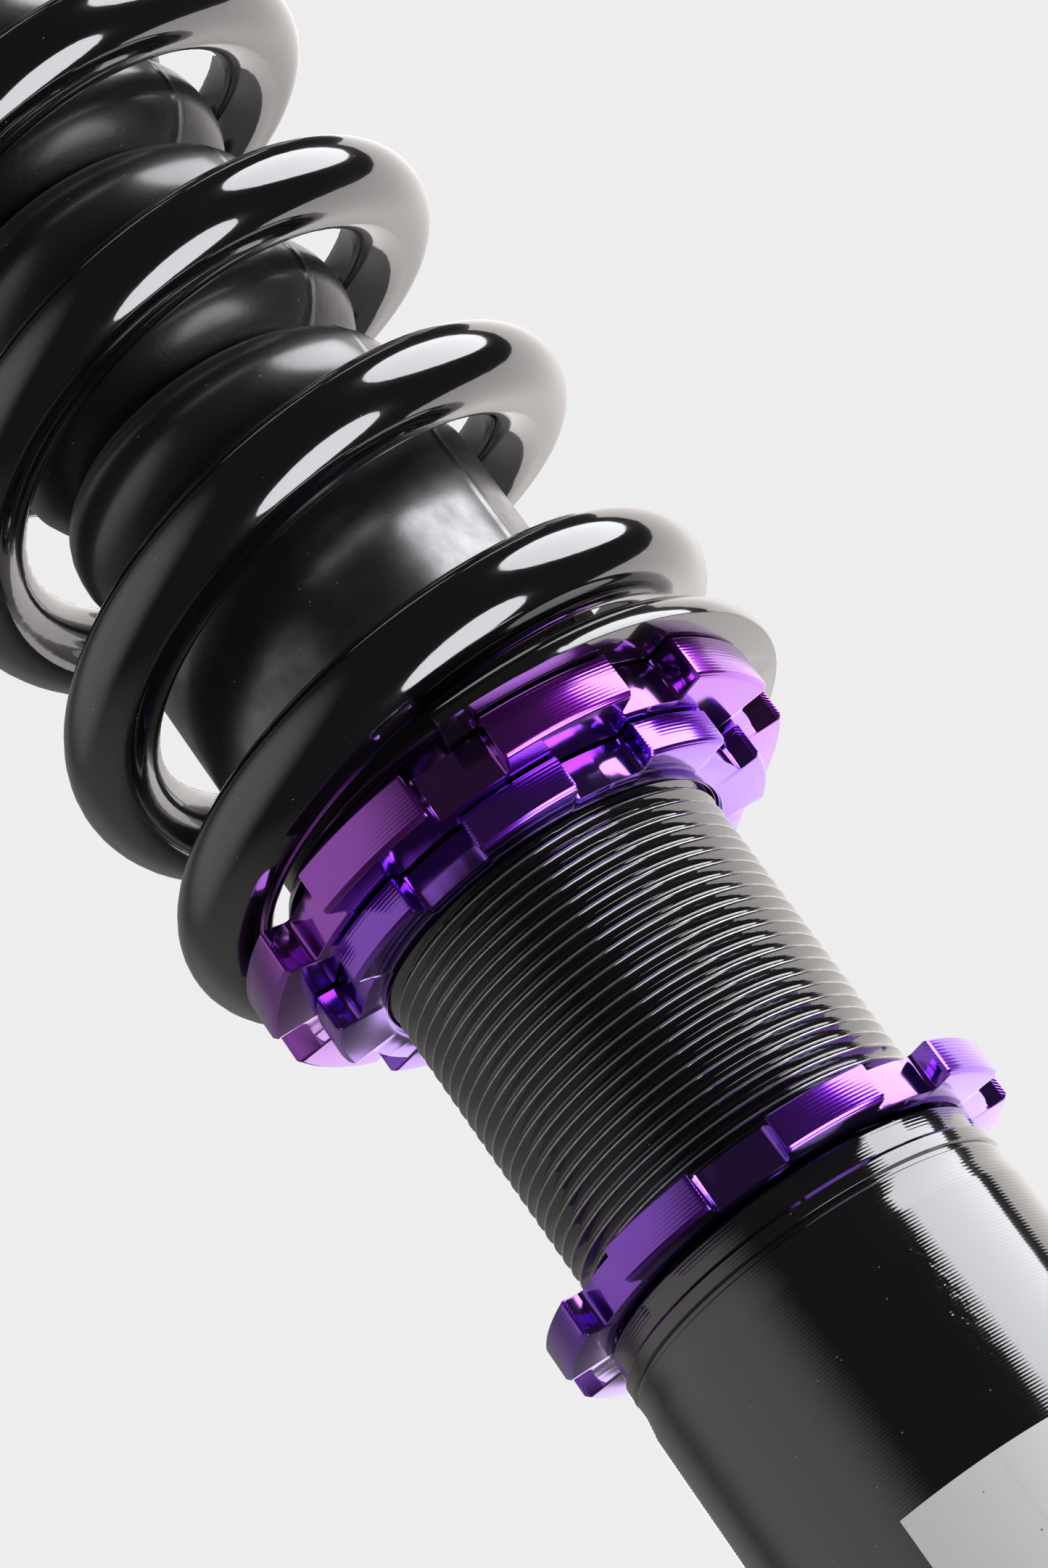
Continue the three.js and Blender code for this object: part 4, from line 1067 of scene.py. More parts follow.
# ---------------------------------------- rubber
@dataclass
class DustBoot:
    """The rubber bellows round the piston rod and the plain cuff that grips the damper body.

    Attributes:
        peak: Radius of the bellows' drums, mm.
        neck: Radius between them, mm.
        wall: Wall thickness, mm.
        ribs: Number of drums.
        pitch: Height of each drum that shows under the coils, mm.
        pitched: How many drums, from the lowest, have that height; the rest share what is left.
        fullness: Exponent of the upper half of a drum's outline; the higher, the squarer.
        sleeve: Radius of the plain sleeve at the top, mm.
        sleeve_height: Height of that sleeve, mm.
        cuff: Outer radius of the cuff, mm.
        cuff_bore: Its bore on the body, mm.
        cuff_round: Radius of its shoulder, mm.
        seam_angle: Where the mould's parting line is, in degrees from the front towards +X.
        seam_width: Its width, mm.
        seam_rise: How far it stands up, mm.
        seam_flank: Width of each of its sloping sides, mm.
        lip: Radius of the cuff's rolled lower lip, mm.
        stroke: How far the damper shortens the bellows, mm; not used.
        rib_points: Points on one drum's outline.
    """

    peak: float = 26.3
    neck: float = 20.3
    wall: float = 1.8
    ribs: int = 8
    pitch: float = 17.25
    pitched: int = 4
    fullness: float = 2.6
    sleeve: float = 21.5
    sleeve_height: float = 19.3
    cuff: float = 26.9
    cuff_bore: float = 25.3
    cuff_round: float = 4.0
    seam_angle: float = 62.0
    seam_width: float = 0.7
    seam_rise: float = 0.08
    seam_flank: float = 0.12
    lip: float = 0.8
    stroke: float = 90.0
    rib_points: int = 14

    def radius(self, share: float) -> float:
        """Outer radius at a share of one drum's height, mm: its lower half slopes, its upper is full."""
        across = 2 * share - 1
        full = 1 - across ** 2 if across < 0 else math.sqrt(max(0.0, 1 - across ** self.fullness))
        return self.neck + (self.peak - self.neck) * full

    def necks(self, bottom: float, top: float) -> list[float]:
        """Heights of the narrowest places, from the lowest up to the sleeve's lower end, mm."""
        low = [bottom + i * self.pitch for i in range(self.pitched + 1)]
        left = (top - self.sleeve_height - low[-1]) / (self.ribs - self.pitched)
        return low + [low[-1] + left * i for i in range(1, self.ribs - self.pitched + 1)]

    def bellows_outline(self, bottom: float, top: float) -> list[Point2]:
        """The closed half section of the bellows between two heights, mm."""
        necks = self.necks(bottom, top)
        shares = [(1 - math.cos(math.pi * i / self.rib_points)) / 2 for i in range(self.rib_points)]
        outer: list[Point2] = []
        inner: list[Point2] = []
        for low, high in zip(necks, necks[1:]):
            for i, share in enumerate(shares):
                height = low + share * (high - low)
                outer.append((self.radius(share), height))
                if i % 2 == 0:
                    inner.append((self.radius(share) - self.wall, height))
        sleeve_bottom = top - self.sleeve_height
        outer += [(self.neck, sleeve_bottom), (self.sleeve, sleeve_bottom + 1.5), (self.sleeve, top)]
        inner += [(self.neck - self.wall, sleeve_bottom), (self.sleeve - self.wall, sleeve_bottom + 1.5),
                  (self.sleeve - self.wall, top)]
        return outer + inner[::-1]

    def raise_seams(self, piece: Object) -> None:
        """Lifts the parting line on both sides: a narrow strip of the outer skin along the strut."""
        outward_part = 0.2
        half_width = self.seam_width * 0.6
        for side in (self.seam_angle, self.seam_angle + 180):
            middle = math.radians(side - 90)

            def on_seam(centre: Vector, normal: Vector, middle: float = middle) -> bool:
                """Whether a face is on the outer skin and within the strip."""
                radius = math.hypot(centre.x, centre.y)
                off = math.remainder(math.atan2(centre.y, centre.x) - middle, TURN) * radius
                outwards = normal.x * centre.x + normal.y * centre.y > outward_part * radius
                return abs(off) < half_width and outwards

            with editing(piece):
                select_faces(piece, on_seam)
                bpy.ops.mesh.inset(thickness=self.seam_flank * MM, use_boundary=True)
                bpy.ops.transform.shrink_fatten(value=self.seam_rise * MM)

    def build(self) -> None:
        """Builds the bellows and the cuff."""
        bottom, top = heights("dust_boot")
        bellows = turned("boot_bellows", self.bellows_outline(bottom, top), SMOOTH_STEPS)
        self.raise_seams(bellows)
        present(bellows, BOOT_RUBBER, "rod", ["dust_boot"], math.radians(60))
        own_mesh(bellows)
        self.build_cuff()

    def build_cuff(self) -> None:
        """Builds the cuff with its rounded shoulder and rolled lower lip."""
        bottom, top = heights("boot_cuff")
        shoulder = arc(self.cuff_round, 0, 90, 10, (self.cuff - self.cuff_round, top - self.cuff_round))
        lip = arc(self.lip, -90, 0, 4, (self.cuff - self.lip, bottom + self.lip))
        outline = [(self.cuff_bore, bottom), *lip, *shoulder,
                   (self.neck + 0.6, top),
                   (self.neck, top - 0.2),
                   (self.neck - self.wall, top - 0.2),
                   (self.neck - self.wall, top - self.wall),
                   (self.cuff_bore - 2, top - self.wall),
                   (self.cuff_bore, top - self.wall - 2)]
        cuff = turned("boot_cuff_skin", outline, SMOOTH_STEPS)
        self.raise_seams(cuff)
        present(cuff, CUFF_RUBBER, "cylinder", ["boot_cuff"], math.radians(60))


# ---------------------------------------- collars
@dataclass
class CastellatedCollar:
    """A round nut with eight square slots in its rim for a hook spanner.

    Attributes:
        node: The frame's node that it stands for.
        name: The piece's name.
        body: The body that it moves with.
        finish: Its finish.
        rim: Radius over the lands, mm.
        floor: Radius at the slot floors, mm.
        slot_angle: Width of a slot in degrees.
        phase: Where one slot's middle is, in degrees from the front towards +X.
        height: Height of the rim, mm.
        slots: Number of slots.
        fillet: Radius in the slots' corners, mm.
        edge: Width of the chamfer on the lands' edges, mm.
        broken_edge: Width of the bevel that breaks every other edge, mm.
        bore: Its bore, mm.
        hub: Radius of the hub above the rim, mm, 0 for none.
    """

    node: str
    name: str
    body: str
    finish: Finish
    rim: float
    floor: float
    slot_angle: float
    phase: float
    height: float
    slots: int = 8
    fillet: float = 0.8
    edge: float = 0.55
    broken_edge: float = 0.14
    bore: float = 25.3
    hub: float = 0.0

    def slot_cutters(self, bottom: float) -> Object:
        """Makes the milled slots as one solid for each slot, in mm above a bottom."""
        half = math.radians(self.slot_angle) / 2
        reach = self.rim + 2
        plan = [
            (reach * math.cos(half), -reach * math.sin(half)),
            (reach * math.cos(half), reach * math.sin(half)),
        ]
        plan += self.floor_points(half)
        piece = prism(f"{self.name}_cutter", plan, bottom - 1, bottom + self.height + 1)
        copy_round(piece, self.slots)
        return piece

    def floor_points(self, half: float) -> list[Point2]:
        """The slot's rounded floor, from its left wall to its right one, about +X."""
        turn = self.fillet / self.floor
        left: list[Point2] = []
        steps = 4
        for i in range(steps + 1):
            share = i / steps * math.pi / 2
            radius = self.floor + self.fillet * (1 - math.sin(share))
            angle = half - turn * (1 - math.cos(share))
            left.append((radius * math.cos(angle), radius * math.sin(angle)))
        right = [(x, -y) for x, y in reversed(left)]
        middle = [(self.floor * math.cos(a), self.floor * math.sin(a))
                  for a in (half * 0.45, 0.0, -half * 0.45)]
        return left + middle + right

    def build(self) -> None:
        """Turns the rim, chamfers its lands, mills the slots and breaks the edges."""
        bottom, top = heights(self.node)
        rim_top = bottom + self.height
        outline = [
            (self.bore, bottom + 0.5),
            (self.bore + 0.5, bottom),
            (self.rim - self.edge, bottom),
            (self.rim, bottom + self.edge),
            (self.rim, rim_top - self.edge * 0.6),
            (self.rim - self.edge * 0.6, rim_top),
        ]
        if self.hub:
            outline += [(self.hub, rim_top), (self.hub, top - 2), (self.hub - 1.2, top), (self.bore, top)]
        else:
            outline += [(self.bore + 0.5, rim_top), (self.bore, rim_top - 0.5)]
        piece = turned(self.name, outline, SMOOTH_STEPS)
        combine(piece, self.slot_cutters(bottom), Join.CUT)
        soften(piece, self.broken_edge, 2, 28.0)
        turn_mesh(piece, self.phase - 90)
        present(piece, self.finish, self.body, [self.node], math.radians(25))


# ---------------------------------------- damper
@dataclass
class ThreadedBody:
    """The damper's outer tube, threaded over its whole length, 50 mm over a 2 mm pitch.

    Attributes:
        thread: Its thread.
        bore: Radius of its bore, mm.
    """

    thread: ScrewThread = field(default_factory=lambda: ScrewThread(25.0, 2.0))
    bore: float = 21.5

    def build(self) -> None:
        """Cuts the thread."""
        bottom, top = heights("threaded_body")
        piece = self.thread.cut("body_thread", bottom, top, self.bore)
        present(piece, BLACK_THREAD, "cylinder", ["threaded_body"], math.radians(70))


# ---------------------------------------- knuckle bracket
@dataclass
class KnuckleBracket:
    """The tube that the body screws into, and the strap round it whose ears bolt to the knuckle.

    Attributes:
        tube: Radius of the tube, mm.
        neck: Radius under the lock ring, mm.
        band: Radius below the neck, mm.
        bore: Its threaded bore, mm.
        neck_height: Height of the neck, mm.
        groove_drop: From the top down to the groove, mm.
        groove_height: Height of the groove, mm.
        groove_depth: Depth of the groove, mm.
        shoulder_drop: From the top down to the shoulder, mm.
        shoulder_run: Height of the shoulder, mm.
        floor: Thickness of the tube's floor, mm.
        drain: Radius of the hole in that floor, mm.
        ear_thickness: Thickness of the strap, mm.
        ear_reach: How far behind the axis the ears end, mm.
        ear_height: Height of the ears, mm.
        ear_rise: Height of their lower edge above the tube's lower end, mm.
        ear_corner: Radius of their corners, mm.
        strap_inset: How much lower the strap's edges are round the front than on the ears, mm.
        bolt: Radius of the bolt holes, mm.
        bolt_reach: How far behind the axis they are, mm.
        bolt_pitch: Height from one to the other, mm.
        bead: Radius of the weld beads, mm.
        bead_pitch: Distance between their ripples, mm.
        bead_ripple: Depth of a ripple as a share of the bead's radius.
        bead_steps: Points of the path in one ripple.
        label_left: Where the label begins, in degrees from the front towards +X.
        label_width: Its width round the tube, mm.
        label_drop: From the tube's top down to it, mm.
        label_height: Its height, mm.
        label_thickness: Its thickness, mm.
    """

    tube: float = 28.2
    neck: float = 27.1
    band: float = 27.75
    bore: float = 25.3
    neck_height: float = 3.6
    groove_drop: float = 5.9
    groove_height: float = 0.9
    groove_depth: float = 0.5
    shoulder_drop: float = 9.0
    shoulder_run: float = 2.2
    floor: float = 8.0
    drain: float = 4.0
    ear_thickness: float = 6.0
    ear_reach: float = 66.0
    ear_height: float = 80.0
    ear_rise: float = 6.0
    ear_corner: float = 13.0
    strap_inset: float = 10.0
    bolt: float = 7.25
    bolt_reach: float = 50.0
    bolt_pitch: float = 52.0
    bead: float = 2.6
    bead_pitch: float = 2.4
    bead_ripple: float = 0.1
    bead_steps: int = 8
    label_left: float = -17.7
    label_width: float = 58.0
    label_drop: float = 41.7
    label_height: float = 44.0
    label_thickness: float = 0.12

    def build(self) -> None:
        """Builds the tube, the strap with its ears, the weld beads and the bare label."""
        bottom, top = heights("lower_bracket")
        self.build_tube(bottom, top)
        self.build_strap(bottom + self.ear_rise)
        self.build_welds(bottom + self.ear_rise)
        self.build_label(top)

    def build_tube(self, bottom: float, top: float) -> None:
        """Turns the tube with its neck, groove and shoulder, and drills its drain."""
        groove_top = top - self.groove_drop
        groove_bottom = groove_top - self.groove_height
        shoulder = top - self.shoulder_drop
        bevel = (self.band - self.neck) * 0.9
        outline = [
            (0.0, bottom),
            (self.tube - 1.5, bottom),
            (self.tube, bottom + 1.5),
            (self.tube, shoulder - self.shoulder_run - 0.4),
            (self.tube - 0.06, shoulder - self.shoulder_run),
            (self.band + 0.06, shoulder),
            (self.band, shoulder + 0.4),
            (self.band, groove_bottom - 0.12),
            (self.band - 0.12, groove_bottom),
            (self.band - self.groove_depth, groove_bottom + 0.2),
            (self.band - self.groove_depth, groove_top - 0.2),
            (self.band - 0.12, groove_top),
            (self.band, groove_top + 0.12),
            (self.band, top - self.neck_height - bevel),
            (self.neck, top - self.neck_height),
            (self.neck, top - 0.5),
            (self.neck - 0.5, top),
            (self.bore + 0.6, top),
            (self.bore, top - 0.6),
            (self.bore, bottom + self.floor),
            (0.0, bottom + self.floor),
        ]
        piece = turned("bracket_tube", outline, SMOOTH_STEPS)
        combine(piece, cylinder("drain", self.drain, (0, 0, bottom), 4 * self.floor), Join.CUT)
        present(piece, BLACK_BRACKET, "bracket", ["lower_bracket"], math.radians(24))

    def strap_plan(self) -> list[Point2]:
        """The strap's plan: round the tube's front and on as two parallel ears."""
        outer = self.tube + self.ear_thickness
        inner = self.tube + 0.05
        round_outer = arc(outer, 0, -180, 48)
        round_inner = arc(inner, -180, 0, 48)
        return [(outer, self.ear_reach), *round_outer, (-outer, self.ear_reach), (-inner, self.ear_reach),
                *round_inner, (inner, self.ear_reach)]

    def ear_profile(self) -> list[Point2]:
        """The strap's side view: reach along Y, and height above the ears' lower edge."""
        inset = self.strap_inset
        front, slope_start, slope_run, steps = -60.0, -4.0, 30.0, 16
        lower = [(front, inset), (slope_start, inset)]
        for i in range(1, steps + 1):
            share = i / steps
            lower.append((slope_start + slope_run * share, inset * (1 + math.cos(math.pi * share)) / 2))
        corner = self.ear_corner
        foot = arc(corner, -90, 0, 10, (self.ear_reach - corner, corner))
        head = arc(corner, 0, 90, 10, (self.ear_reach - corner, self.ear_height - corner))
        upper = [(y, self.ear_height - z) for y, z in reversed(lower)]
        return lower + foot + head + upper

    def build_strap(self, bottom: float) -> None:
        """Bends the strap, trims its side view, drills the bolt holes and rounds its edges."""
        strap = prism("knuckle_strap", self.strap_plan(), bottom, bottom + self.ear_height)
        side = prism("side_view", self.ear_profile(), -50, 50)
        side.matrix_world = Matrix(((0, 0, 1, 0), (1, 0, 0, 0), (0, 1, 0, bottom * MM), (0, 0, 0, 1)))
        settle(side)
        combine(strap, side, Join.KEEP_COMMON)
        for end in (-1, 1):
            height = bottom + self.ear_height / 2 + end * self.bolt_pitch / 2
            combine(strap, cylinder("bolt", self.bolt, (0, self.bolt_reach, height), 100, "X"), Join.CUT)
        soften(strap, 0.9, 3, 35.0)
        present(strap, BLACK_STRAP, "bracket", (), math.radians(30))

    def build_welds(self, bottom: float) -> None:
        """Lays a rippled bead along the strap's upper and lower edges on the tube's front."""
        radius = self.tube + 0.5
        for name, height in (("weld_lower", bottom + self.strap_inset),
                             ("weld_upper", bottom + self.ear_height - self.strap_inset)):
            length = math.pi * radius
            count = round(length / self.bead_pitch) * self.bead_steps
            points = [(x, y, height) for x, y in arc(radius, -176, -4, count)]
            swell = [1 - self.bead_ripple + self.bead_ripple * abs(math.cos(math.pi * i / self.bead_steps))
                     for i in range(count + 1)]
            bead = wire(name, points, self.bead, 12, swell)
            present(bead, BLACK_STRAP, "bracket", (), math.radians(40))

    def build_label(self, top: float) -> None:
        """Wraps a thin blank label round the tube's front."""
        start = self.label_left - 90
        end = start + math.degrees(self.label_width / self.tube)
        outer = arc(self.tube + self.label_thickness, start, end, 40)
        inner = arc(self.tube + 0.01, end, start, 40)
        high = top - self.label_drop
        label = prism("blank_label", outer + inner, high - self.label_height, high)
        present(label, LABEL, "bracket")


# ---------------------------------------- top mount
@dataclass
class TopMount:
    """The three-stud plate that bolts under the strut tower, and the spherical bearing in its middle.

    Attributes:
        thickness: Thickness of the plate, mm.
        stud_circle: Radius of the circle that the studs stand on, mm.
        lobe: Radius of each lobe round a stud, mm.
        housing: Radius of the bearing housing below the plate, mm.
        lip: Thickness of the housing's lip, mm; not used.
        lip_bore: Radius through the lip, mm.
        race: Outer radius of the race, mm.
        ball: Radius of the ball, mm.
        ball_bore: Radius of its bore, mm.
        gap: Clearance round the race and the ball, mm.
        stud_hole: Radius of the studs' holes, mm.
        stud_length: How far the studs stand above the plate, mm.
        stud_head: Radius of their heads, mm.
        stud_head_height: Height of their heads, mm.
        stud: The studs' thread.
    """

    thickness: float = 10.0
    stud_circle: float = 46.0
    lobe: float = 14.0
    housing: float = 26.0
    lip: float = 2.2
    lip_bore: float = 18.0
    race: float = 21.0
    ball: float = 15.0
    ball_bore: float = 7.3
    gap: float = 0.3
    stud_hole: float = 4.3
    stud_length: float = 24.0
    stud_head: float = 7.0
    stud_head_height: float = 4.0
    stud: ScrewThread = field(default_factory=lambda: ScrewThread(4.0, 1.25, steps=32))

    def stud_angles(self) -> list[float]:
        """Angles of the studs in degrees."""
        return [90.0, 210.0, 330.0]

    def plan(self) -> list[Point2]:
        """The plate's plan: three lobes joined by straight sides."""
        points: list[Point2] = []
        for angle in self.stud_angles():
            a = math.radians(angle)
            centre = (self.stud_circle * math.cos(a), self.stud_circle * math.sin(a))
            points += arc(self.lobe, angle - 60, angle + 60, 24, centre)
        return points

    def build(self) -> None:
        """Builds the plate, the studs, the race, the ball and the circlip."""
        self.build_plate()
        for i, angle in enumerate(self.stud_angles()):
            self.build_stud(i + 1, math.radians(angle))
        self.build_bearing()

    def build_plate(self) -> None:
        """Builds the plate with its housing, bores and stud holes."""
        bottom, _ = heights("top_mount_plate")
        race_bottom, race_top = heights("pillow_ball_race")
        plate = prism("mount_plate", self.plan(), -self.thickness, 0)
        housing = turned("housing", [(0, bottom), (self.housing, bottom), (self.housing, -2), (0, -2)],
                         SMOOTH_STEPS)
        combine(plate, housing, Join.ADD)
        bore = self.race + self.gap
        lip_top = race_bottom - self.gap
        cavity = turned("cavity", [(0, bottom - 1), (self.lip_bore, bottom - 1), (self.lip_bore, lip_top),
                                   (bore, lip_top), (bore, race_top + 0.15), (bore + 1.1, race_top + 0.15),
                                   (bore + 1.1, -0.45), (bore, -0.45), (bore, 1), (0, 1)], SMOOTH_STEPS)
        combine(plate, cavity, Join.CUT)
        for angle in self.stud_angles():
            a = math.radians(angle)
            place = (self.stud_circle * math.cos(a), self.stud_circle * math.sin(a), -self.thickness / 2)
            combine(plate, cylinder("hole", self.stud_hole, place, 3 * self.thickness), Join.CUT)
        soften(plate, 0.7, 3, 40.0)
        present(plate, BLACK_PLATE, "top_mount", ["top_mount_plate"], math.radians(30))

    def build_stud(self, number: int, angle: float) -> None:
        """Builds one pressed-in stud with its head under the plate and its thread above it."""
        low, _ = heights(f"mount_stud_{number}")
        under = low + self.stud_head_height
        end = self.stud_length
        piece = self.stud.cut(f"stud_{number}", under - 0.5, end)
        envelope = turned("envelope", [(0, under - 1), (5, under - 1), (5, end - 1), (4, end - 1), (3, end),
                                       (0, end)], SMALL_STEPS)
        combine(piece, envelope, Join.KEEP_COMMON)
        shank = turned("shank", [(0, low), (self.stud_head - 0.6, low), (self.stud_head, low + 0.6),
                                 (self.stud_head, under - 0.3), (self.stud_head - 0.3, under),
                                 (4.0, under), (4.0, -0.6), (3.2, 0.2), (0, 0.2)], SMALL_STEPS)
        combine(piece, shank, Join.ADD)
        piece.location = Vector((math.cos(angle), math.sin(angle), 0)) * self.stud_circle * MM
        present(piece, ZINC, "top_mount", [f"mount_stud_{number}"], math.radians(35))

    def build_bearing(self) -> None:
        """Builds the race, the ball that tilts in it and the circlip over them."""
        low, high = heights("pillow_ball_race")
        half = (high - low) / 2
        centre = (high + low) / 2
        hollow = self.ball + self.gap
        reach = math.degrees(math.asin(half / hollow))
        outline = arc(hollow, reach, -reach, 16, (0, centre))
        outline += [(self.race - 0.5, low), (self.race, low + 0.5), (self.race, high - 0.5),
                    (self.race - 0.5, high)]
        race = turned("ball_race", outline, SMOOTH_STEPS)
        present(race, GROUND_STEEL, "top_mount", ["pillow_ball_race"])
        low, high = heights("pillow_ball")
        width = (high - low) / 2
        reach = math.degrees(math.asin(width / self.ball))
        profile = [(self.ball_bore, low + 0.4), (self.ball_bore + 0.4, low),
                   *arc(self.ball, -reach, reach, 24, (0, (high + low) / 2)),
                   (self.ball_bore + 0.4, high), (self.ball_bore, high - 0.4)]
        ball = turned("tilting_ball", profile, SMOOTH_STEPS)
        present(ball, CHROME, "rod", ["pillow_ball"])
        self.build_circlip()

    def build_circlip(self) -> None:
        """Builds the open snap ring with two lugs that have pliers' holes."""
        low, high = heights("race_circlip")
        outer = self.race + 0.9
        inner = outer - 3.4
        gap = 9.0
        lug = 17.0
        plan = [*arc(outer, gap, 360 - gap, 120),
                *arc(inner - 3.6, 360 - gap, 360 - lug - gap, 6),
                *arc(inner, 360 - lug - gap - 6, lug + gap + 6, 100),
                *arc(inner - 3.6, lug + gap, gap, 6)]
        clip = prism("ball_circlip", plan, low, high)
        for side in (-1, 1):
            a = math.radians(side * (gap + lug / 2))
            place = ((inner - 1.4) * math.cos(a), (inner - 1.4) * math.sin(a), (low + high) / 2)
            combine(clip, cylinder("plier_hole", 1.0, place, 6, sides=24), Join.CUT)
        soften(clip, 0.15, 2, 35.0)
        present(clip, GROUND_STEEL, "top_mount", ["race_circlip"])


# ---------------------------------------- rod top and seat
@dataclass
class RodTop:
    """What stands on the piston rod above the ball: washer, lock nut and the damping adjuster knob.

    Attributes:
        stem: The rod's thread through the nut.
        rod: Radius of the rod, mm.
        rod_bore: Radius of its bore, mm.
        nut_flats: Width over the nut's flats, mm.
        stem_bore: Radius of the nut's and the washer's bore, mm.
        washer: Radius of the washer, mm.
        knob: Radius of the knob, mm.
        flutes: Number of finger flutes round it.
        flute: Radius of a flute, mm.
        spigot: Radius of the rod's end that the knob turns on, mm.
    """

    stem: ScrewThread = field(default_factory=lambda: ScrewThread(7.0, 1.5, steps=48))
    rod: float = 11.0
    rod_bore: float = 2.3
    nut_flats: float = 22.0
    stem_bore: float = 7.3
    washer: float = 13.0
    knob: float = 9.5
    flutes: int = 12
    flute: float = 1.9
    spigot: float = 4.2

    def build(self) -> None:
        """Builds the rod's upper end, the washer, the nut and the knob."""
        self.build_rod()
        low, high = heights("rod_washer")
        washer = tube("stem_washer", self.stem_bore, self.washer, low, high)
        soften(washer, 0.4, 3, 40.0)
        present(washer, ZINC, "rod", ["rod_washer"])
        self.build_nut()
        self.build_knob()

    def build_rod(self) -> None:
        """Turns the rod: chromed shaft, threaded stem, spigot for the knob, and the piston's stem below."""
        low, high = heights("piston_rod")
        nut_top = heights("rod_nut")[1]
        ball_top = heights("pillow_ball")[1]
        shoulder = heights("bump_stop_washer")[0] - 0.3
        step = heights("rebound_bumper")[0] - 0.3
        stem_top = nut_top + 2
        outline = [(self.rod_bore, low), (5.2, low), (6.0, low + 0.8), (6.0, step), (self.rod - 0.5, step),
                   (self.rod, step + 0.5), (self.rod, shoulder - 0.5), (self.rod - 0.5, shoulder),
                   (7.0, shoulder), (7.0, ball_top - 1), (6.0, ball_top), (6.0, stem_top - 0.6),
                   (self.spigot, stem_top - 0.6), (self.spigot, high - 0.4), (self.spigot - 0.4, high),
                   (self.rod_bore, high)]
        rod = turned("rod_shaft", outline, INNER_STEPS)
        present(rod, CHROME, "rod", ["piston_rod"])
        stem = self.stem.cut("rod_stem_thread", ball_top - 0.5, stem_top, 5.0)
        present(stem, ZINC, "rod", (), math.radians(60))

    def build_nut(self) -> None:
        """Makes the hexagon lock nut with chamfered corners."""
        low, high = heights("rod_nut")
        corner = self.nut_flats / 2 / math.cos(math.pi / 6)
        nut = prism("stem_nut", arc(corner, 0, 300, 5), low, high)
        drop = (corner - self.nut_flats / 2) * 0.62
        flat = self.nut_flats / 2 - 0.4
        bore, outside = self.stem_bore, corner + 0.3
        rounding = turned("rounding", [(bore, low + 0.7), (8.0, low), (flat, low), (outside, low + drop),
                                       (outside, high - drop), (flat, high), (8.0, high), (bore, high - 0.7)],
                          INNER_STEPS)
        combine(nut, rounding, Join.KEEP_COMMON)
        soften(nut, 0.15, 2, 30.0)
        present(nut, ZINC, "rod", ["rod_nut"], math.radians(25))

    def build_knob(self) -> None:
        """Makes the fluted knob with its recessed top and the socket under it."""
        low, high = heights("damping_knob")
        socket, socket_top = self.spigot + 0.3, low + 7.3
        recess, recess_floor = self.knob - 3.1, high - 1.1
        outline = [(socket, low), (self.knob - 0.9, low), (self.knob, low + 0.9), (self.knob, high - 0.9),
                   (self.knob - 0.9, high), (self.knob - 2.6, high), (recess, high - 0.5),
                   (recess, recess_floor), (0, recess_floor), (0, socket_top), (socket, socket_top)]
        knob = turned("adjuster_knob", outline, INNER_STEPS)
        place = (self.knob + 0.8, 0, (low + high) / 2)
        cutters = cylinder("flute", self.flute, place, 2 * (high - low), sides=32)
        copy_round(cutters, self.flutes)
        combine(knob, cutters, Join.CUT)
        soften(knob, 0.2, 2, 35.0)
        present(knob, VIOLET_KNOB, "knob", ["damping_knob"], math.radians(30))


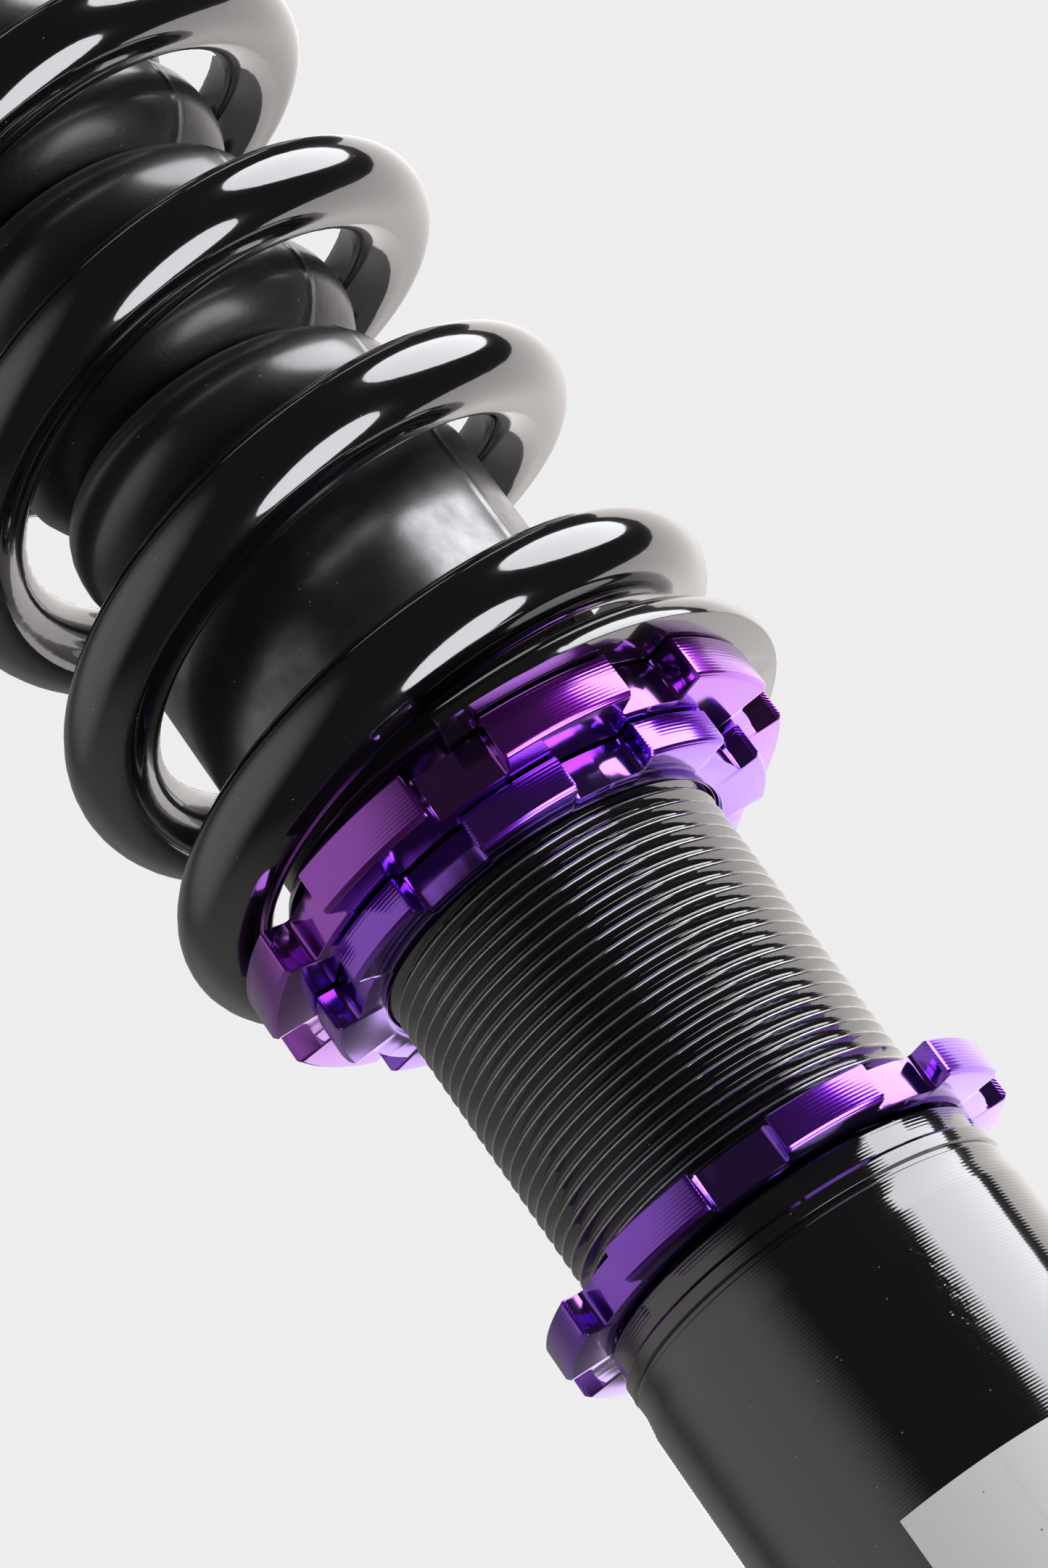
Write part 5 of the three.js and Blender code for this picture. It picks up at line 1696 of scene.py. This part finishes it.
@dataclass
class SeatStack:
    """The upper spring seat and the thrust bearing that lets it swivel as the wheels steer.

    Attributes:
        seat: Radius of the seat, mm.
        guide: Radius of its spigot inside the spring, mm.
        bore: Its bore, mm.
        thickness: Thickness of its flange, mm.
        collar_wall: Wall thickness of its spigot, mm.
        sleeve: Outer radius of the sleeve between the ball and the bearing, mm.
        sleeve_flange: Radius of its flange, mm.
        stem_bore: Radius of its bore, mm.
        stop_washer: Radius of the washer over the bump stop, mm.
        race: Inner and outer radius of the bearing's washers, mm.
        cage: Inner and outer radius of its cage, mm.
        cage_half: Half the cage's thickness, mm.
        roller_at: Radius of the circle that its rollers' middles lie on, mm.
        roller_length: Length of a roller, mm.
        rollers: Number of rollers.
    """

    seat: float = 46.0
    guide: float = 30.2
    bore: float = 13.0
    thickness: float = 6.0
    collar_wall: float = 5.0
    sleeve: float = 12.7
    sleeve_flange: float = 24.0
    stem_bore: float = 7.3
    stop_washer: float = 22.5
    race: Point2 = (14.0, 24.0)
    cage: Point2 = (14.4, 23.6)
    cage_half: float = 0.6
    roller_at: float = 19.0
    roller_length: float = 6.8
    rollers: int = 16

    def build(self) -> None:
        """Builds the seat, the bearing sleeve, its washers and rollers and the bump stop's washer."""
        low, top = heights("upper_spring_seat")
        bottom = top - self.thickness
        inner = self.guide - self.collar_wall
        outline = [(self.bore, bottom), (inner, bottom), (inner, low), (self.guide - 1.5, low),
                   (self.guide, low + 2.5), (self.guide, bottom + 0.6), (self.guide + 0.6, bottom),
                   (self.seat - 0.8, bottom), (self.seat, bottom + 0.8), (self.seat, top - 2),
                   (self.seat - 0.6, top - 0.6), (self.seat - 2, top), (self.bore, top)]
        seat = turned("spring_seat", outline, SMOOTH_STEPS)
        soften(seat, 0.25, 2, 40.0)
        present(seat, BLACK_PLATE, "upper_seat", ["upper_spring_seat"], math.radians(30))
        self.build_sleeve()
        self.build_bearing()
        low, high = heights("bump_stop_washer")
        washer = tube("stop_washer", self.stem_bore, self.stop_washer, low, high)
        soften(washer, 0.5, 3, 40.0)
        present(washer, GROUND_STEEL, "rod", ["bump_stop_washer"])

    def build_sleeve(self) -> None:
        """Turns the flanged sleeve between the ball and the bearing."""
        low, high = heights("bearing_sleeve")
        flange_bottom = heights("thrust_washer_upper")[1] + 0.3
        flange_top = flange_bottom + 4
        sleeve = turned("flanged_sleeve", [
            (self.stem_bore, low), (self.sleeve, low), (self.sleeve, flange_bottom),
            (self.sleeve_flange, flange_bottom), (self.sleeve_flange, flange_top - 1),
            (self.sleeve_flange - 1, flange_top), (self.sleeve + 0.8, flange_top),
            (self.sleeve, flange_top + 0.8), (self.sleeve, high - 0.4), (self.sleeve - 0.4, high),
            (self.stem_bore, high)])
        present(sleeve, GROUND_STEEL, "rod", ["bearing_sleeve"])

    def build_bearing(self) -> None:
        """Builds the two thrust washers and the cage with its needle rollers."""
        for node, name, body in (("thrust_washer_upper", "bearing_washer_upper", "rod"),
                                 ("thrust_washer_lower", "bearing_washer_lower", "upper_seat")):
            low, high = heights(node)
            washer = tube(name, *self.race, low, high)
            soften(washer, 0.2, 2, 40.0)
            present(washer, GROUND_STEEL, body, [node])
        low, high = heights("thrust_needle_cage")
        middle = (low + high) / 2
        cage = tube("needle_cage", *self.cage, middle - self.cage_half, middle + self.cage_half)
        present(cage, BRONZE, "bearing_cage", ["thrust_needle_cage"])
        rollers = cylinder("needle_rollers", (high - low) / 2, (self.roller_at, 0, middle),
                           self.roller_length, "X", sides=24)
        copy_round(rollers, self.rollers)
        present(rollers, GROUND_STEEL, "bearing_cage")


@dataclass
class InnerParts:
    """The frame's own nodes that stay as they are and only get their material.

    Attributes:
        finishes: Each node's finish.
    """

    finishes: dict[str, Finish] = field(default_factory=lambda: {
        "adjuster_needle": GROUND_STEEL,
        "body_end_cap": BLACK_PLATE,
        "gas_valve_plug": BRONZE,
        "rod_guide": ALLOY,
        "guide_bush": BRONZE,
        "rod_seal": SEAL_RUBBER,
        "seal_circlip": GROUND_STEEL,
        "rod_wiper": SEAL_RUBBER,
        "rebound_bumper": FOAM,
        "top_out_washer": GROUND_STEEL,
        "compression_shims": GROUND_STEEL,
        "damper_piston": ALLOY,
        "piston_band": BRONZE,
        "rebound_shims": GROUND_STEEL,
        "piston_nut": ZINC,
        "floating_piston": ALLOY,
        "floating_piston_ring": SEAL_RUBBER,
    })

    def build(self, nodes: dict[str, Object]) -> None:
        """Puts each finish on its node.

        Args:
            nodes: The frame's nodes by name.
        """
        for name, finish in self.finishes.items():
            nodes[name].data.materials.clear()
            nodes[name].data.materials.append(finish.material())
            LOG.info("%s: %s", name, finish.name)


@dataclass
class BumpStop:
    """The foam bump stop on the rod, inside the boot: three drums with grooves between them.

    Attributes:
        outer: Radius of the drums, mm.
        bore: Its bore, mm.
        groove: Depth of the upper groove, mm; the lower one is 1 mm deeper.
        groove_half: Half the height of a groove, mm.
    """

    outer: float = 18.0
    bore: float = 11.3
    groove: float = 3.0
    groove_half: float = 3.0

    def build(self) -> None:
        """Builds the stop with its tapered nose."""
        low, high = heights("bump_stop")
        third = (high - low) / 3
        outline = [(self.bore, low), (self.outer - 5, low), (self.outer - 2.2, low + 3),
                   (self.outer - 1.5, low + 6), (self.outer - 1.5, low + third - 4)]
        for i in (1, 2):
            middle = low + i * third
            depth = self.groove + (1 if i == 1 else 0)
            outline += [(self.outer - depth * math.sin(math.pi * t / 8),
                         middle + self.groove_half * (t / 4 - 1)) for t in range(1, 8)]
            outline.append((self.outer, middle + 4))
        outline += [(self.outer, high), (self.bore, high)]
        stop = turned("stop_foam", outline)
        present(stop, FOAM, "rod", ["bump_stop"])


# ---------------------------------------- studio
def towards(azimuth: float, elevation: float) -> Vector:
    """Gives a direction from its azimuth, in degrees from the front towards +X, and its elevation."""
    a, e = math.radians(azimuth), math.radians(elevation)
    return Vector((math.sin(a) * math.cos(e), -math.cos(a) * math.cos(e), math.sin(e)))


@dataclass(frozen=True)
class Softbox:
    """A round studio lamp.

    Attributes:
        name: Its name.
        azimuth: Where it hangs, in degrees from the front towards +X.
        elevation: Where it hangs, in degrees above the horizon.
        wide: Half the angle that it fills from side to side, in degrees.
        tall: Half the angle that it fills from top to bottom, in degrees.
        radiance: How bright its face is; 1 shows as white.
        matt: Whether matt surfaces get its light too, or only gloss and metal.
        tint: Its colour, sRGB hex.
    """

    name: str
    azimuth: float
    elevation: float
    wide: float
    tall: float
    radiance: float
    matt: bool = True
    tint: str = "#FAFBFF"


@dataclass(frozen=True)
class Glow:
    """A soft patch of the room that gloss and metal reflect.

    Attributes:
        azimuth: Its middle, in degrees from the front towards +X.
        elevation: Its middle, in degrees above the horizon.
        core: It is even within this angle of its middle, in degrees.
        edge: It is gone beyond this angle, in degrees.
        level: How bright it is; 1 shows as white.
    """

    azimuth: float
    elevation: float
    core: float
    edge: float
    level: float


@dataclass(frozen=True)
class Card:
    """A lit reflector card that only gloss and metal see, close enough that each side of the strut
    sees its edges elsewhere.

    Attributes:
        azimuth: Where it stands, in degrees from the front towards +X.
        elevation: Where it stands, in degrees above the horizon.
        wide: Half the angle that it fills from side to side, in degrees.
        tall: Half the angle that it fills from top to bottom, in degrees.
        level: How bright it is; 1 shows as white.
        dim_level: How bright it is in its dim spot, which the outlines of the coils mirror.
        dim_spot: The spot's place across and up from the card's middle, m.
        dim_reach: How far from the spot the card is at its full level again, m.
        distance: How far from the strut's middle it stands, m.
        tint: Its colour, sRGB hex.
    """

    azimuth: float
    elevation: float
    wide: float
    tall: float
    level: float
    dim_level: float
    dim_spot: Point2 = (0.0, 0.0)
    dim_reach: float = 0.32
    distance: float = 0.5
    tint: str = "#FFF9F7"


@dataclass
class Studio:
    """The camera at the photograph's viewing angle, the lamps, the pale floor and background.

    Attributes:
        image: The picture's width and height in pixels.
        focal_pixels: The camera's focal length in those pixels.
        sensor: Sensor height, mm.
        eye: The camera's place in the part's frame, m.
        right: The picture's right in the part's frame.
        up: The picture's up in the part's frame.
        aim: What the lamps face, m.
        lamp_distance: How far the lamps hang from it, m.
        gloss_behind: How much further the lamps hang that only gloss and metal see, m; at the same
            place one of two lamps would hide the other.
        nearest: What is closer to the camera than this isn't drawn, m.
        pale: Colour of the floor, sRGB hex.
        backdrop_level: How bright the background is to the camera; 1 shows as white.
        diffuse_level: The room's level for matt surfaces.
        dark_level: The room's level in gloss, away from its glows.
        room_tint: Colour of the room's light on the part.
        floor_drop: How far under the part the floor lies, m.
        floor_radius: The floor's radius, m.
        floor_roughness: The floor's roughness.
    """

    image: tuple[int, int] = (1445, 2163)
    focal_pixels: float = 6199.67
    sensor: float = 36.0
    eye: Vector = field(default_factory=lambda: Vector((0.006304, -0.546868, -0.46875)))
    right: Vector = field(default_factory=lambda: Vector((0.80968, 0.21417, -0.54640)))
    up: Vector = field(default_factory=lambda: Vector((0.58688, -0.29547, 0.75384)))
    aim: Vector = field(default_factory=lambda: Vector((0.0, 0.0, -0.26)))
    lamp_distance: float = 18.0
    gloss_behind: float = 0.4
    nearest: float = 0.01
    pale: str = "#E9E9EC"
    backdrop_level: float = 0.85
    diffuse_level: float = 0.55
    dark_level: float = 0.03
    room_tint: str = "#FFFAF8"
    floor_drop: float = 0.0006
    floor_radius: float = 2.5
    floor_roughness: float = 0.7

    @property
    def away(self) -> Vector:
        """The direction in which the camera looks."""
        return self.up.cross(self.right).normalized()

    def lamps(self) -> list[Softbox]:
        """The softboxes whose long reflections lie on the coils, the tube and the collars.

        Each hangs as a pair, since one lamp bright enough for its reflection would make pale matt
        surfaces clip to white.
        """
        high = {"azimuth": 85, "elevation": 25, "wide": 26, "tall": 27}
        low = {"azimuth": 50, "elevation": -51, "wide": 20, "tall": 23}
        return [
            Softbox("key_high_right", **high, radiance=2.2),
            Softbox("key_high_right_gloss", **high, radiance=2.1, matt=False),
            Softbox("key_low_right", **low, radiance=2.3),
            Softbox("key_low_right_gloss", **low, radiance=2.2, matt=False),
        ]

    def glows(self) -> list[Glow]:
        """The soft grey light from the left, and the weaker light from the back, high and low."""
        return [
            Glow(azimuth=-165, elevation=20, core=10, edge=50, level=0.15),
            Glow(azimuth=-70, elevation=22, core=15, edge=54, level=0.42),
            Glow(azimuth=-125, elevation=-25, core=10, edge=50, level=0.15),
        ]

    def cards(self) -> list[Card]:
        """The cards behind the strut that the coils' right turns and the collars' undersides mirror."""
        return [
            Card(azimuth=150, elevation=-2, wide=31, tall=48, level=1.35, dim_level=0.6,
                 dim_spot=(0.26, 0.2)),
            Card(azimuth=188, elevation=0, wide=8, tall=20, level=1.25, dim_level=1.25),
        ]

    def build(self) -> None:
        """Sets up the camera, lamps, cards, floor, world and view settings."""
        self.build_camera()
        for lamp in self.lamps():
            self.build_lamp(lamp)
        for card in self.cards():
            self.build_card(card)
        self.build_floor()
        self.build_world()
        bpy.context.scene.view_settings.view_transform = "Standard"

    def build_camera(self) -> None:
        """Makes the camera and makes it the scene's."""
        data = bpy.data.cameras.new("camera")
        data.sensor_fit = "VERTICAL"
        data.sensor_height = self.sensor
        data.sensor_width = self.sensor
        data.lens = self.focal_pixels / self.image[1] * self.sensor
        data.clip_start = self.nearest
        camera = bpy.data.objects.new("camera", data)
        back = -self.away
        camera.matrix_world = Matrix((
            (self.right.x, self.up.x, back.x, self.eye.x),
            (self.right.y, self.up.y, back.y, self.eye.y),
            (self.right.z, self.up.z, back.z, self.eye.z),
            (0, 0, 0, 1),
        ))
        bpy.context.scene.collection.objects.link(camera)
        bpy.context.scene.camera = camera

    def build_lamp(self, box: Softbox) -> None:
        """Hangs one softbox so that it faces the strut."""
        data = bpy.data.lights.new(box.name, "AREA")
        data.shape = "ELLIPSE"
        data.size = 2 * self.lamp_distance * math.tan(math.radians(box.wide))
        data.size_y = 2 * self.lamp_distance * math.tan(math.radians(box.tall))
        face = data.size * data.size_y * math.pi / 4
        data.energy = box.radiance * math.pi * face
        data.color = linear(box.tint)[:3]
        lamp = bpy.data.objects.new(box.name, data)
        away = towards(box.azimuth, box.elevation)
        behind = 0.0 if box.matt else self.gloss_behind
        lamp.location = self.aim + away * (self.lamp_distance + behind)
        lamp.rotation_euler = away.to_track_quat("Z", "Y").to_euler()
        lamp.visible_camera = False
        lamp.visible_diffuse = box.matt
        bpy.context.scene.collection.objects.link(lamp)

    def build_card(self, card: Card) -> None:
        """Stands one card at its place round the strut, facing it."""
        away = towards(card.azimuth, card.elevation)
        bpy.ops.object.select_all(action="DESELECT")
        bpy.ops.mesh.primitive_plane_add(size=1)
        sheet = bpy.context.object
        sheet.name = "reflector_card"
        width = 2 * card.distance * math.tan(math.radians(card.wide))
        height = 2 * card.distance * math.tan(math.radians(card.tall))
        sheet.scale = (width, height, 1.0)
        bpy.ops.object.transform_apply(location=False, rotation=False, scale=True)
        sheet.rotation_euler = away.to_track_quat("Z", "Y").to_euler()
        sheet.location = self.aim + away * card.distance
        material = bpy.data.materials.new("white reflector card")
        material.use_nodes = True
        tree = material.node_tree
        tree.nodes.clear()
        where = add_node(tree, "ShaderNodeTexCoord").outputs["Object"]
        off = add_node(tree, "ShaderNodeVectorMath", {0: where, 1: (*card.dim_spot, 0.0)},
                       operation="DISTANCE").outputs["Value"]
        level = map_range(tree, off, (0.0, card.dim_reach), (card.dim_level, card.level), smooth=True)
        light = add_node(tree, "ShaderNodeEmission", {0: linear(card.tint), 1: level})
        add_node(tree, "ShaderNodeOutputMaterial", {0: light.outputs[0]})
        sheet.data.materials.append(material)
        sheet.visible_camera = False
        sheet.visible_diffuse = False
        sheet.visible_shadow = False
        sheet.visible_transmission = False
        sheet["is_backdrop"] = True

    def build_floor(self) -> None:
        """Lays the pale floor just under the bracket; the low lamp shines up through it."""
        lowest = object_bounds()[0][2]
        bpy.ops.object.select_all(action="DESELECT")
        bpy.ops.mesh.primitive_circle_add(vertices=INNER_STEPS, radius=self.floor_radius, fill_type="NGON",
                                          location=(0, 0, lowest - self.floor_drop))
        floor = bpy.context.object
        floor.name = "floor"
        settle(floor)
        material = bpy.data.materials.new("pale studio floor")
        material.use_nodes = True
        shader = material.node_tree.nodes["Principled BSDF"]
        shader.inputs["Base Color"].default_value = linear(self.pale)
        shader.inputs["Roughness"].default_value = self.floor_roughness
        shader.inputs["Specular IOR Level"].default_value = 0.0
        floor.data.materials.append(material)
        floor.visible_shadow = False
        floor.visible_glossy = False
        floor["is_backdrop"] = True

    def build_world(self) -> None:
        """Gives the camera the pale background, and gloss and metal the room's soft glows.

        The rest of the room is dark in gloss, so that black lacquer stays black where no lamp shows in
        it, and an even grey for matt surfaces.
        """
        world = bpy.data.worlds.new("studio")
        world.use_nodes = True
        bpy.context.scene.world = world
        tree = world.node_tree
        tree.nodes.clear()
        ray = add_node(tree, "ShaderNodeLightPath").outputs
        where = add_node(tree, "ShaderNodeTexCoord").outputs["Generated"]
        room: Scalar = self.dark_level
        for glow in self.glows():
            middle = towards(glow.azimuth, glow.elevation)
            near = add_node(tree, "ShaderNodeVectorMath", {0: where, 1: middle}, operation="DOT_PRODUCT")
            reach = (math.cos(math.radians(glow.edge)), math.cos(math.radians(glow.core)))
            share = map_range(tree, near.outputs["Value"], reach, (0.0, glow.level), smooth=True)
            room = calculate(tree, "ADD", room, share)
        glossy = calculate(tree, "MAXIMUM", ray["Is Glossy Ray"], ray["Is Transmission Ray"])
        lit = mix_values(tree, glossy, self.diffuse_level, room)
        level = mix_values(tree, ray["Is Camera Ray"], lit, self.backdrop_level)
        tint = mix_colours(tree, ray["Is Camera Ray"], linear(self.room_tint), linear("#FFFFFF"))
        light = add_node(tree, "ShaderNodeBackground", {0: tint, 1: level})
        add_node(tree, "ShaderNodeOutputWorld", {0: light.outputs[0]})


def main() -> None:
    """Builds the studio and every sub-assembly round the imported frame."""
    logging.basicConfig(level=logging.INFO, format="%(message)s")
    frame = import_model()
    bpy.ops.object.select_all(action="DESELECT")
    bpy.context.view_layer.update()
    Studio().build()
    ThreadedBody().build()
    ring = {"finish": VIOLET, "rim": 33.3, "floor": 29.9, "slot_angle": 20.0, "height": 5.4}
    collars = [
        CastellatedCollar("spring_perch", "perch_collar", "perch", MAGENTA, rim=39.5, floor=34.9,
                          slot_angle=17.3, phase=0.6, height=6.7, hub=30.2),
        CastellatedCollar("perch_lock_ring", "upper_lock_ring", "perch_ring", phase=-14.8, **ring),
        CastellatedCollar("bracket_lock_ring", "lower_lock_ring", "bracket_ring", phase=0.7, **ring),
    ]
    for collar in collars:
        collar.build()
    CoilSpring().build()
    DustBoot().build()
    BumpStop().build()
    KnuckleBracket().build()
    TopMount().build()
    RodTop().build()
    SeatStack().build()
    InnerParts().build(frame["nodes"])


if __name__ == "__main__":
    main()
